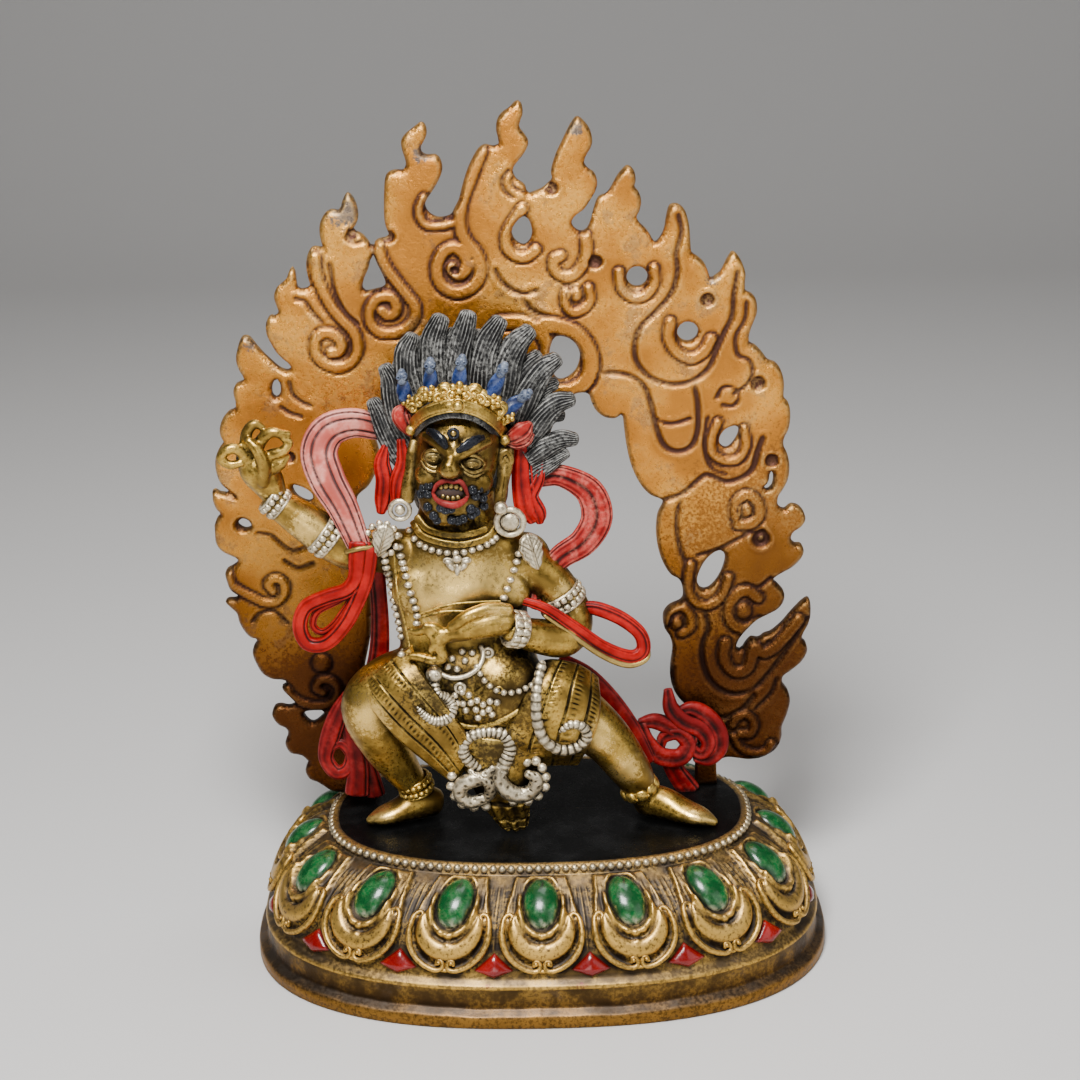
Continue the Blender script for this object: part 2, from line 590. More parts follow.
def plinth_piece():
    """Side of the plinth as one grid round the oval, closed by a flat underside and platform."""
    mould = Mould()
    along = np.arange(GRID_AROUND) / GRID_AROUND * LENGTHS[-1]
    s = np.mod(along + PITCH / 2, PITCH) - PITCH / 2
    w = ROW_RUN[:, None]
    height, dark = petal_relief(s[None, :], w)
    carved = (w > 0) & (w < SLOPE_LENGTH)
    height = np.where(carved, height, 0)
    dark = np.where(carved, dark, np.where(w < 0, 0.2, 0.3))
    rounds = 0.12 * np.sin(along * 0.21) + 0.08 * np.sin(along * 0.53 + 1)
    points = on_side(along[None, :] + 0 * w, w + 0 * along[None, :], height)
    worn = np.where((w < -8) & (w > -14), rounds[None, :], 0)
    points[..., 2] += worn
    middle = [(0, 0, 0), (0, 0, PLATFORM_TOP)]
    i = np.arange(GRID_AROUND)
    j = (i + 1) % GRID_AROUND
    mould.add(points, grid_faces(len(ROW_RUN), GRID_AROUND), dark, shell=False)
    caps = np.vstack([points[0], points[-1], middle])
    under, over = 2 * GRID_AROUND, 2 * GRID_AROUND + 1
    fans = np.vstack([
        np.stack([j, i, under + 0 * i], 1),
        np.stack([GRID_AROUND + i, GRID_AROUND + j, over + 0 * i], 1),
    ])
    mould.add(caps, fans, 0.6, shell=False)
    return mould


def scrolls_piece():
    """Thin C-scrolls that edge the petals, curled at both ends and mirrored about each middle."""
    mould = Mould()
    turns = np.radians([14, 30, 48, 66, 84])
    rim = np.stack([11.5 * np.sin(turns), PETAL_MIDDLE - 11.5 * np.cos(turns)], 1)
    route = np.vstack([numbers(SCROLL_FOOT), rim, numbers(SCROLL_HOOK)])
    shares, halves = [0, 0.12, 0.3, 0.6, 0.85, 1], [0.6, 0.55, 0.8, 1.0, 0.75, 0.6]
    half = np.interp(np.linspace(0, 1, len(route)), shares, halves)
    for k in range(PETAL_COUNT):
        for side in (-1, 1):
            line = on_side(k * PITCH + side * route[:, 0], route[:, 1], 1.75)
            lift = unit(on_side(k * PITCH + side * route[:, 0], route[:, 1], 3.0) - line)
            sweep(mould, line, half, half * 1.15, around=8, per=3, face=lift)
            eye = on_side(k * PITCH + side * np.array([1.75]), np.array([4.0]), 2.3)
            balls(mould, eye, (0.7, 0.7, 0.7), 8, 6)
    return mould


def jewels_piece(tall):
    """Domed jewels, each a half ellipsoid set in a petal."""
    mould = Mould()
    rise = np.linspace(0, np.pi / 2, 16)[:, None]
    turn = np.linspace(0, 2 * np.pi, 44, endpoint=False)[None, :]
    s = 5.7 * np.cos(rise) * np.cos(turn)
    w = 21.6 + 7.9 * np.cos(rise) * np.sin(turn)
    proud = 0.6 + tall * np.sin(rise) + 0 * turn
    cracks = 0.9 * bump_at(s - 0.6 * np.sin(w), 0.35) * ease((w - 23.5) / 2)
    cracks = cracks + 0.8 * ease((0.25 - rise) / 0.25)
    rubbed = ease((16.5 - w) / 2.5) * (0.35 + 0.45 * np.sin(2.2 * s + 1.7 * w))
    dark = np.clip(cracks - rubbed, -1, 1)
    for k in range(PETAL_COUNT):
        mould.add(on_side(k * PITCH + s, w, proud), grid_faces(16, 44), dark, shell=False)
    return mould


def lozenges_piece():
    """Pointed lozenges at the foot, between the petals."""
    mould = Mould()
    rise = np.linspace(0, np.pi / 2, 6)[:, None]
    turn = np.linspace(0, 2 * np.pi, 24, endpoint=False)[None, :]
    ray = np.abs(np.cos(turn)) + np.abs(np.sin(turn))
    up = np.where(np.sin(turn) > 0, 5.2, 2.4)
    s = 5.4 * np.cos(rise) * np.cos(turn) / ray
    w = 1.9 + up * np.cos(rise) * np.sin(turn) / ray
    proud = 0.2 + 1.9 * np.sin(rise) + 0 * turn
    for k in range(PETAL_COUNT):
        mould.add(on_side((k + 0.5) * PITCH + s, w, proud), grid_faces(6, 24), shell=False)
    return mould


def rim_beads_piece(half):
    """A row of small beads round the neck of the plinth."""
    mould = Mould()
    turns = np.linspace(0, 2 * np.pi, 1440, endpoint=False)
    x, y = oval(turns, 24.6)
    route = evenly(np.stack([x, y, 0 * x + 40.5], 1), 2.72, closed=True)
    balls(mould, route, (half, half, 0.95 * half), around=10, rows=6)
    return mould


def platform_piece():
    """The glossy platform inside the beads: a shallow disc with a rounded edge."""
    mould = Mould()
    turns = np.linspace(0, 2 * np.pi, 200, endpoint=False)[None, :]
    inset = np.array([25.4, 25.5, 26.2, 30, 36, 44, 52, 60, 63.9])[:, None]
    x, y = oval(turns, inset)
    z = np.array([41.0, 41.45, 41.6, 41.6, 41.6, 41.6, 41.6, 41.6, 41.6])[:, None] + 0 * turns
    mould.add(np.stack([x, y, z], -1), grid_faces(9, 200), shell=False)
    return mould


# Aureole: a height field over the upright plane

DRAWN_DEPTH = 17.5

# Beyond these places the flames' tips are drawn in to a share, so that they stay inside the part's box
TIP_TOP, TOP_SHARE = 255, 0.8
TIP_LEFT, LEFT_SHARE = -97, 0.7
TIP_RIGHT, RIGHT_SHARE = 85, 0.6


def drawn(text):
    """x and z of the aureole's places in the photo. A word is pixels across and pixels down."""
    line = []
    for across, down in words(text):
        x, z = place_at(across, down, DRAWN_DEPTH)
        if z > TIP_TOP:
            z = TIP_TOP + (z - TIP_TOP) * TOP_SHARE
        if x < TIP_LEFT:
            x = TIP_LEFT + (x - TIP_LEFT) * LEFT_SHARE
        if x > TIP_RIGHT:
            x = TIP_RIGHT + (x - TIP_RIGHT) * RIGHT_SHARE
        line.append((round(float(x), 1), round(float(z), 1)))
    return np.array(line)


def near_line(xs, zs, line, reach, closed=False):
    """Distance of each grid place from a line of [x, z], as far as reach."""
    field = np.full((len(zs), len(xs)), float(reach))
    starts = line if closed else line[:-1]
    ends = np.roll(line, -1, 0) if closed else line[1:]
    for a, b in zip(starts, ends):
        i0, i1 = np.searchsorted(xs, [min(a[0], b[0]) - reach, max(a[0], b[0]) + reach])
        j0, j1 = np.searchsorted(zs, [min(a[1], b[1]) - reach, max(a[1], b[1]) + reach])
        x = xs[None, i0:i1] - a[0]
        z = zs[j0:j1, None] - a[1]
        d = b - a
        t = np.clip((x * d[0] + z * d[1]) / max(d @ d, 1e-12), 0, 1)
        window = field[j0:j1, i0:i1]
        np.minimum(window, np.hypot(x - t * d[0], z - t * d[1]), out=window)
    return field


def within(xs, zs, line):
    """True at grid places inside a closed line, by counting crossings to the right."""
    mask = np.zeros((len(zs), len(xs)), bool)
    for a, b in zip(line, np.roll(line, -1, 0)):
        low, high = (a, b) if a[1] < b[1] else (b, a)
        j0, j1 = np.searchsorted(zs, [low[1], high[1]])
        if j1 > j0:
            cross = low[0] + (zs[j0:j1] - low[1]) * (high[0] - low[0]) / (high[1] - low[1])
            mask[j0:j1] ^= xs[None, :] < cross[:, None]
    return mask


def aureole_relief(xs, zs):
    """Height towards the viewer, and darkness, of bands, grooves, pits and bosses."""
    x, z = np.meshgrid(xs, zs)
    raised = np.zeros(x.shape)
    cut = np.zeros(x.shape)
    for half, text in BANDS:
        q = near_line(xs, zs, smooth_line(drawn(text), per=8), half + 3)
        raised = np.maximum(raised, ease((half + 0.3 - q) / 0.6))
        cut = np.maximum(cut, 0.75 * bump_at(q - half - 0.5, 0.42))
    for half, text in GROOVES:
        q = near_line(xs, zs, smooth_line(drawn(text), per=8), 4)
        cut = np.maximum(cut, bump_at(q, half * 0.75) * (1 - raised))
        raised = np.maximum(raised, 0.35 * bump_at(q - half - 0.9, 0.8) * (1 - cut))
    cut = cut * (1 - ease(raised * 1.4 - 0.3))
    height = BAND_RISE * raised - 0.8 * cut
    for place, radius in PITS:
        px, pz = drawn(place)[0]
        r = np.hypot(x - px, z - pz) / radius
        height -= 1.3 * ease((1.15 - r) / 0.5)
        cut = np.maximum(cut, ease((1.2 - r) / 0.5))
        height += 0.4 * bump_at(r - 1.5, 0.25)
    for place, radius in BOSSES:
        px, pz = drawn(place)[0]
        r = np.hypot(x - px, z - pz) / radius
        height += 1.0 * np.sqrt(np.clip(1 - r * r, 0, 1))
        cut = np.maximum(cut, 0.8 * bump_at(r - 1.15, 0.18))
    waves = 0.16 * np.sin(x * 0.19 + 1.3 * np.sin(z * 0.11)) + 0.13 * np.sin(z * 0.23 + x * 0.07)
    return height + waves, np.clip(cut, 0, 1)


def aureole_piece():
    """Plate whose front is a height field and whose rim is rounded.

    Grid places near the drawn outline move onto it; cells inside become faces, on the front
    and again on the back, and their border is joined by a wall.
    """
    step = PLATE_GRID
    xs = np.arange(*GRID_X, step)
    zs = np.arange(*GRID_Z, step)
    loops = [smooth_line(drawn(text), True, 5) for text in (OUTLINE, *HOLES)]
    ring = np.linspace(0, 2 * np.pi, 40, endpoint=False)
    for place, radius in ROUND_HOLES:
        px, pz = drawn(place)[0]
        loops.append(np.stack([px + radius * np.cos(ring), pz + radius * np.sin(ring)], 1))
    field = np.full((len(zs), len(xs)), 4.0)
    mask = np.zeros(field.shape, bool)
    for loop in loops:
        field = np.minimum(field, near_line(xs, zs, loop, 4, closed=True))
        mask ^= within(xs, zs, loop)
    depth = np.where(mask, field, -field)
    dz, dx = np.gradient(depth, step)
    x, z = np.meshgrid(xs, zs)
    size = np.maximum(np.hypot(dx, dz), 0.3) ** 2
    close = np.abs(depth) < 0.55 * step
    keep = depth > -0.55 * step
    kept = np.stack([keep[:-1, :-1], keep[:-1, 1:], keep[1:, 1:], keep[1:, :-1]], -1).reshape(-1, 4)
    cells = grid_faces(len(zs), len(xs), wrap=False)
    quads = cells[kept.all(1)]
    three = kept.sum(1) == 3
    corners = np.array([[1, 2, 3], [2, 3, 0], [3, 0, 1], [0, 1, 2]])
    missing = np.argmin(kept[three], 1)
    tris = np.take_along_axis(cells[three], corners[missing], 1)
    edges = np.vstack([quads[:, [0, 1]], quads[:, [1, 2]], quads[:, [2, 3]], quads[:, [3, 0]],
                       tris[:, [0, 1]], tris[:, [1, 2]], tris[:, [2, 0]]])
    code = np.sort(edges, 1) @ np.array([depth.size, 1])
    _, where, many = np.unique(code, return_index=True, return_counts=True)
    border = edges[where[many == 1]]
    close.ravel()[border.ravel()] = True
    x = np.where(close, x - depth * dx / size, x)
    z = np.where(close, z - depth * dz / size, z)
    x = np.maximum(x, PLATE_LEFT)
    d = np.where(close, 0, depth).clip(0, 4)
    height, cut = aureole_relief(xs, zs)
    height = height * ease((d + 0.2) / 1.2)
    rim = RIM_ROUND - np.sqrt(np.clip(RIM_ROUND**2 - (RIM_ROUND - d.clip(0, RIM_ROUND)) ** 2, 0, None))
    front = np.clip(PLATE_FRONT - height + rim + 0.3 * (1 - d / 4) ** 2, *PLATE_DEPTHS)
    back = PLATE_BACK - rim * 0.8 - 0.25 - 0.2 * np.sin(x * 0.15) * np.sin(z * 0.12)
    points = np.concatenate([np.stack([x, y, z], -1).reshape(-1, 3) for y in (front, back)])
    n = depth.size
    wall = np.stack([border[:, 1], border[:, 0], border[:, 0] + n, border[:, 1] + n], 1)
    used = np.unique(np.concatenate([quads.ravel(), tris.ravel()]))
    used = np.concatenate([used, used + n])
    renumber = np.zeros(2 * n, int)
    renumber[used] = np.arange(len(used))
    dark = np.concatenate([(cut + 0.35 * bump_at(d - 0.4, 0.5)).ravel(), 0.5 + 0 * d.ravel()])
    mould = Mould()
    faces = renumber[np.vstack([quads, quads[:, ::-1] + n, wall])]
    mould.add(points[used], faces, np.clip(dark, 0, 1)[used], shell=False)
    mould.faces.append(renumber[np.vstack([tris, tris[:, ::-1] + n])])
    return mould


POST_DEPTH = 17.3


def posts_piece():
    """Square posts that carry the plate on the platform."""
    mould = Mould()
    for x, top in ((53.6, 58), (-55.5, 50)):
        route = [(x, POST_DEPTH, STANDING), (x, POST_DEPTH, 50), (x + 0.6, POST_DEPTH, top)]
        sweep(mould, route, [3.6, 3.4, 3.2], [2.2, 2.2, 2], around=16, caps=(0, 0), power=6)
    return mould


# Figure: bare body, cast as overlapping shells that are then fused and smoothed

# Level rings of the trunk: centre x, y, z and half width, half depth
TRUNK = numbers("""-15 -4 72 13 8  -17.5 -6 79 21 14.5  -18.5 -7 88 21 15.5  -20.5 -7 97 20.5 14.5
-22 -5.5 105 20 12.2  -23 -5 114 20.5 12.6  -23 -5 122 21.5 12.4  -21.5 -4.5 129 22 10.8
-21.5 -4.5 134.5 18.5 9.5  -22 -4 139 14.5 9  -22.5 -3 144 12 7.6  -23 -4 150 11.5 8.6""", 5)

# The head's centre, which its bands face away from
HEAD_MIDDLE = (-22, 6, 172)
SKULL = numbers("""-24.8 -13 142.6 3.4 3.4  -24.6 -12 144.6 7.4 7.4  -24.1 -10.6 149 10.2 9.8
-23.2 -8.8 156 12.2 11.6  -22.4 -7.6 163 12.8 12.6  -21.6 -7 170 12.2 12.6  -20.8 -6.4 178 9 9""", 5)

NAVEL = (-11.4, -24.9, 92.6)

# A rougher trunk, and the belly's centre and rough half sizes: they give places on the body their depth
ROUGH_TRUNK = numbers("""-15 -4 72 13 8  -17.5 -6 79 21 14.5  -18.5 -7 90 20.5 16.5  -20 -7 97 18.5 15.5
-21.5 -5.5 105 18 12  -22.5 -5 114 18.5 12.5  -22.5 -5 123 19.5 12.5  -21 -4.5 130 21 10
-21.5 -4.5 135 13 7.5  -22 -5 139 7 7  -22.5 -6 148 7 7""", 5)
BELLY = (-12, -12, 88)
ROUGH_BELLY = (15.5, 13, 15)
FIRST_DEPTH = -15
DEPTH_ROUNDS = 12

# Routes of the limbs
RAISED_ARM = "-35 -4 128  -45 -6.5 131.5  -56 -9 133  -67 -9.5 141  -78.5 -10 150"
CROSSED_ARM = "-5 -4 127  4 -4.5 120  10.5 -6 109  8 -11 104  -2.4 -16.5 107.4  -8.4 -19.5 110.7"
BENT_LEG = "-22 -4 84  -38 -10 90  -51 -13.5 84.5  -47 -10 69  -39 -6 53  -37 -5 46"
STRAIGHT_LEG = "-6 -5 82  8 -9.5 79.5  20 -10.5 71  28.5 -9.5 58.5  33 -8 49.5  35 -7.5 46"


def stack(mould, levels):
    """Level, slightly squared rings joined by smooth curves: centre x, y, z, half width, half depth."""
    around, power = 48, 2.15
    rows = smooth_line(levels, False, 8)
    tips = rows[:1].copy(), rows[-1:].copy()
    for tip in tips:
        tip[:, 3:] = 0.001
    rows = np.vstack([tips[0], rows, tips[1]])
    a = np.linspace(0, 2 * np.pi, around, endpoint=False)[None, :]
    c = np.sign(np.cos(a)) * np.abs(np.cos(a)) ** (2 / power)
    s = np.sign(np.sin(a)) * np.abs(np.sin(a)) ** (2 / power)
    x, y, z, wide, deep = rows.T[..., None]
    mould.add(np.stack([x + wide * c, y + deep * s, z + 0 * a], -1), grid_faces(len(rows), around))


def limb(mould, text, wide, **options):
    sweep(mould, numbers(text, 3), wide, around=20, per=8, **options)


def strokes(mould, rows, flat, around, per, **options):
    """Round-ended strokes, each a route with half widths; flat is the share of the depth in the width."""
    for route, half in rows:
        half = sizes(half)
        sweep(mould, seen(route), half, half * flat, around=around, per=per, **options)


def foot(mould, heel, toe, toe_rise):
    """A slipper-like foot: rounded heel, high instep and a pointed toe."""
    heel, toe = np.array(heel, float), np.array(toe, float)
    shares = np.array([-0.06, 0.1, 0.3, 0.55, 0.8, 1.0])
    half = np.array([3.6, 4.6, 4.7, 4.9, 4.2, 1.2])
    height = np.array([4.4, 5.2, 5.0, 3.6, 2.5, 1.3])
    lift = np.array([0, 0, 0, 0, 0.2, toe_rise])
    x = heel[0] + (toe[0] - heel[0]) * shares
    y = heel[1] + (toe[1] - heel[1]) * shares
    route = np.stack([x, y, STANDING + height + lift], 1)
    sweep(mould, route, half, height, around=24, per=6, face=(0, 0, 1), caps=(0.6, 0.5))


def body_piece():
    mould = Mould()
    stack(mould, TRUNK)
    balls(mould, BELLY, (15.5, 12.6, 15), 32, 20)
    balls(mould, [(-31.5, -11.6, 120), (-13.5, -11.6, 119)], (12, 4.8, 9), 24, 14)
    balls(mould, [(-40, -5, 129.5), (-3, -4.5, 127.5)], (8, 7.5, 8), 24, 14)
    limb(mould, RAISED_ARM, [7.4, 7, 6.2, 6, 4.2], caps=(0, 0.3))
    limb(mould, CROSSED_ARM, [7.4, 7, 6.8, 6.2, 5, 3.6], caps=(0, 0.3))
    limb(mould, BENT_LEG, [10.5, 11, 9, 7.4, 4.6, 4.2], face=(0.35, -1, 0))
    limb(mould, STRAIGHT_LEG, [11, 10.4, 8, 6.4, 4.4, 4.2])
    foot(mould, (-33.5, -4), (-53.5, -11), 0.6)
    foot(mould, (33, -6.3), (54.5, -16.3), 0.2)
    return mould.cast("figure_body", "figure_brass", None)


def fuse(piece, voxel, rounds, look):
    """Fuses a piece's overlapping shells into one skin, smooths their joins and gives it its finish."""
    remesh = piece.modifiers.new("fuse", "REMESH")
    remesh.mode = "VOXEL"
    remesh.voxel_size = voxel * MM
    remesh.use_smooth_shade = True
    relax = piece.modifiers.new("soften", "SMOOTH")
    relax.factor = 0.5
    relax.iterations = rounds
    bpy.context.view_layer.update()
    graph = bpy.context.evaluated_depsgraph_get()
    mesh = bpy.data.meshes.new_from_object(piece.evaluated_get(graph))
    old = piece.data
    piece.modifiers.clear()
    piece.data = mesh
    bpy.data.meshes.remove(old)
    mesh.name = piece.name
    mesh.materials.clear()
    mesh.materials.append(look)
    if "crease" not in mesh.attributes:
        mesh.attributes.new("crease", "FLOAT", "POINT")


# Hands: fingers as routes with their half widths
LEFT_FINGERS = [
    ("274,494,-10 266,480,-10.5 256,468,-11 248,458,-11.5", "4.0 5.3 5.4 3.8"),
    ("263,482,-14.5 264,466,-16 258,451,-16.5 249,441,-16", "2.0 2.0 1.8 1.4"),
    ("246,457,-14 236,449,-15 226,451,-15.5 221,459,-15 230,465,-15 241,463,-15", "1.7 1.7 1.6 1.5 1.4 1.2"),
    ("251,454,-12.5 246,441,-13.5 248,430,-14 255,424,-14 262,427,-14", "2.2 1.9 1.7 1.5 1.1"),
    ("257,447,-13 264,437,-14.5 272,432,-15 281,434,-15 288,434,-14.5", "2.1 1.8 1.6 1.4 1.1"),
    ("263,460,-14 273,454,-15 283,451,-15.5 289,443,-15 283,438,-15", "2.0 1.8 1.6 1.4 1.1"),
    ("268,470,-13.5 280,464,-14.5 287,457,-14", "2.2 1.8 1.2"),
]
RIGHT_FINGERS = [
    ("515,621,-18 500,622,-20.5 480,626,-22 458,633,-22.8", "3.4 4.2 4.0 2.8"),
    ("508,609,-20.5 488,609,-22.5 468,616,-24 452,627,-24.4", "1.8 2.1 2.0 1.7"),
    ("470,630,-22.5 452,634,-24 440,634,-24.5 436,640,-24.5 441,650,-24.5 442,658,-24.2 432,660,-24 "
     "420,657,-23 410,656,-22.5", "2.4 2.1 1.9 1.8 1.8 1.7 1.6 1.5 1.1"),
    ("452,636,-23 440,632,-24 432,627,-24 425,629,-23.5 417,631,-22.5 410,630,-22",
     "2.2 1.9 1.7 1.6 1.5 1.1"),
    ("462,628,-22.5 448,636,-24 437,643,-24.8 432,650,-24.5", "2.0 1.9 1.8 1.2"),
    ("440,640,-23.5 431,634,-24.2 426,626,-24", "1.7 1.5 1.3"),
]


def hands_piece():
    mould = Mould()
    strokes(mould, LEFT_FINGERS + RIGHT_FINGERS, 0.92, 14, 6)
    return mould


# Head
BROW_RIDGES = [
    ("426,436,-17.5 437,441,-20 449,453,-21.5", "1.6 2.2 2.0"),
    ("487,441,-16.5 472,447,-20 458,455,-21.5", "1.6 2.2 2.0"),
]
NOSE = [
    ("455,440,-19.5 453,455,-21.4 449,467,-23", "1.5 2.0 2.8"),
    ("441,469,-21 449,470,-23.4 458,471,-21.4", "1.7 2.7 1.8"),
]


def head_piece():
    """Skull, brow ridges, nose, cheeks, muzzle and chin, fused into one skin."""
    mould = Mould()
    stack(mould, SKULL)
    strokes(mould, BROW_RIDGES + NOSE, 1, 14, 6)
    balls(mould, seen("434,457,-17.6 473,463,-17.4"), (4.0, 2.0, 3.0), 20, 12)
    balls(mould, seen("430,474,-16 478,481,-15.6"), (4.6, 4.2, 4.2), 20, 12)
    balls(mould, seen("451,492,-15.5"), (7.2, 5.2, 6.2), 20, 12)
    balls(mould, seen("446,514,-15.5"), (4.6, 4.4, 3.6), 20, 12)
    return mould


# Small parts of the face: places, and routes with half widths
EYE_CENTRES = "434,458,-20.6 472,464,-20.4"
LIDS = [
    "424,458,-18.6 427,452,-20 434,450,-21 441,453,-21 444,459,-20.4",
    "424,459,-18.8 428,465,-20.4 435,467.5,-21 442,464,-20.8 444,459,-20.4",
    "460,461,-20.4 465,456,-21 473,455.5,-20.8 481,459,-19.4 485,464,-18",
    "460,462,-20.4 465,469,-21 473,472,-20.8 481,470,-19.6 485,464,-18",
    "421,461,-18 426,468,-20 434,471.5,-20.8 443,468,-20.6",
    "460,468,-20.6 467,474,-20.8 475,476,-20.6 484,472,-18.8",
]
TEETH = """
441,487,-20.6 446,486,-21.2 451,486,-21.4 456,486.5,-21.2 461,488,-20.6 443,497,-20.8 448,498.5,-21.4
453,499,-21.4 458,498,-21"""
BROWS = [
    ("428,431,-19.4 434,434,-21 441,440,-22.4 446,447,-23.2", "1.1 1.5 1.6 0.9"),
    ("483,438,-18.6 476,440,-20.6 467,445,-22.2 458,451,-23.2", "1.0 1.5 1.6 0.9"),
]
LIPS = [
    ("433,493,-19.8 437,485,-21.6 446,480.5,-22.6 453,482,-23 460,481.5,-22.6 465,488,-21.4 468,496,-19.8",
     "0.5 0.7 0.8 0.7 0.8 0.7 0.5"),
    ("433,493,-19.8 437,500,-21.6 446,504,-22.8 456,505,-22.8 464,501,-21.4 468,496,-19.8",
     "0.5 0.8 1.1 1.15 0.85 0.5"),
]
BEARD_CURLS = """
424,487,-17.5 429,484,-18.4 421,493,-16.5 428,493,-18.2 473,489,-19 479,488,-17.8 485,490,-16
476,495,-18.6 483,497,-16.6 441,507,-21.2 446,509,-21.4 451,508,-21.4 434,515,-18.6 437,519,-18
452,519,-19.8 458,520,-19.2 463,518,-18.8 471,508,-18.6 476,511,-17.6 472,514,-18 428,506,-17.6
484,505,-15.6"""
EARS = [
    ("415,442,-9 412,455,-10.5 411,470,-11.5 409,485,-12 407,500,-12", "1.6 1.8 1.9 2.2 2.0"),
    ("505,452,-8.5 505,465,-10 503,480,-11 501,492,-11.5 500,503,-11.5", "2.8 2.4 1.9 1.9 1.7"),
    ("507,470,-10.5 511,460,-10.5 507,452,-10.5 501,455,-10.8 500,463,-11", "0.6 0.9 1.0 0.9 0.6"),
    ("506,474,-11.5 505,486,-12.2 503,497,-12.5", "0.5 0.6 0.5"),
]


def lips_piece():
    mould = Mould()
    strokes(mould, LIPS, 0.85, 10, 6)
    return mould


def mouth_piece():
    """Dark hollow of the open mouth, as a shallow ball behind the teeth."""
    mould = Mould()
    balls(mould, seen("450,492.5,-20"), (4.2, 1.3, 2.2), 20, 12)
    return mould


def brows_piece():
    """Brow strokes with fine slanted hairs, the third eye's rim and the beard curls."""
    mould = Mould()

    def hairs(u, a):
        return -0.22 * np.abs(np.sin(np.pi * (u * 5 + 1.2 * a))) ** 2

    strokes(mould, BROWS, 0.6, 16, 12, carve=hairs)
    ring_round(mould, seen("453.5,433.5,-21.6")[0], 1.35, 0.5)
    for centre in seen(BEARD_CURLS):
        ring = np.linspace(0, 2.2 * np.pi, 9)
        curl = np.stack([0.85 * np.cos(ring), -0.5 - 0.12 * ring, 0.85 * np.sin(ring)], 1) + centre
        sweep(mould, curl, [0.5, 0.65, 0.5], around=8, per=3)
        balls(mould, centre + (0, -0.9, 0), (0.7, 0.6, 0.7), 10, 6)
    return mould


def face_gold_piece():
    """Eyelids, eyes with raised rings, teeth and long ear lobes."""
    mould = Mould()
    for route in LIDS:
        sweep(mould, seen(route), [0.3, 0.5, 0.6, 0.5, 0.3], around=10, per=6)
    for centre in seen(EYE_CENTRES):
        balls(mould, centre + (0, 0.25, 0), (2.9, 0.9, 1.9), 16, 10, crease=1.0)
        balls(mould, centre, (2.3, 1.2, 1.15), 16, 10)
        ring_round(mould, centre + (-0.2, -1.05, 0), 0.75, 0.22)
    for centre in seen(TEETH):
        balls(mould, centre, (0.8, 0.6, 1.0), 8, 6)
    strokes(mould, EARS, 0.6, 16, 8)
    balls(mould, seen("453.5,433.5,-22"), (0.9, 0.5, 0.9), 10, 6)
    return mould


# Hair: flame locks, each from its root to its tip with half widths
BACK_LOCKS = [
    ("412,470,-4 399,452,-3 387,430,-2 379,413,-1 373,402,-1", "2.6 3.4 3.6 3 1.7"),
    ("412,444,-4 400,418,-3 394,396,-2 391,380,-1 385,368,-1", "3 3.6 3.6 3 1.7"),
    ("420,412,-4 411,388,-3 407,368,-2 407,350,-1 412,337,-1", "3 3.8 3.7 3.2 1.8"),
    ("438,405,-4 434,380,-3 433,357,-2 434,337,-1 440,319,-1", "3 3.8 3.8 3.4 2.1"),
    ("456,402,-4 456,377,-3 458,354,-2 463,334,-1 468,315,-1", "3 3.8 3.8 3.4 2"),
    ("478,404,-4 481,378,-3 484,356,-2 490,337,-1 499,321,-1", "3 3.8 3.8 3.4 2"),
    ("498,408,-4 504,382,-3 509,360,-2 518,342,-1 529,331,-1", "3 4 4 3.4 2"),
    ("514,424,-4 523,402,-3 533,383,-2 544,368,-1 556,359,-1", "3 3.9 3.8 3.2 1.9"),
    ("523,442,-4 536,424,-3 548,410,-2 559,402,-1 571,399,-1", "3 3.7 3.6 3 1.8"),
    ("526,458,-4 540,449,-3 552,443,-2 563,439,-1 575,439,-1", "3 3.4 3.2 2.7 1.6"),
    ("524,478,-4 537,470,-3 549,463,-2 558,457,-1 566,453,-1", "2.6 2.8 2.6 2 1.3"),
]
FRONT_LOCKS = [
    ("414,462,-6 403,440,-5 396,420,-4 391,404,-3 389,392,-2.5", "2 2.6 2.6 2.2 1.3"),
    ("418,418,-7 406,400,-6 401,384,-5 400,370,-3.5 402,360,-2.5", "2.4 3 3 2.4 1.4"),
    ("428,405,-8 422,388,-6.5 420,370,-5 421,354,-3.5 424,344,-2.5", "2.4 3.2 3.2 2.8 1.7"),
    ("448,402,-9 446,384,-7 446,364,-5 448,347,-3.5 453,336,-2.5", "2.4 3.2 3.2 2.8 1.7"),
    ("468,401,-9 469,384,-7 471,364,-5 474,348,-3.5 480,338,-2.5", "2.4 3.2 3.2 2.8 1.7"),
    ("490,405,-9 493,386,-7 497,368,-5 504,354,-3.5 511,345,-2.5", "2.4 3.2 3.2 2.8 1.7"),
    ("506,414,-8 513,396,-6.5 520,379,-5 529,367,-3.5 538,360,-2.5", "2.4 3.3 3.2 2.6 1.7"),
    ("516,432,-7 526,415,-6 536,400,-4.5 546,391,-3.5 555,387,-2.5", "2.4 3.1 3 2.5 1.6"),
    ("521,450,-7 532,437,-6 543,426,-4.5 553,420,-3.5 562,420,-2.5", "2.4 3 2.8 2.2 1.4"),
    ("522,470,-6 533,460,-5 543,453,-4 552,450,-3 559,451,-2.5", "2.2 2.6 2.3 1.8 1.1"),
]


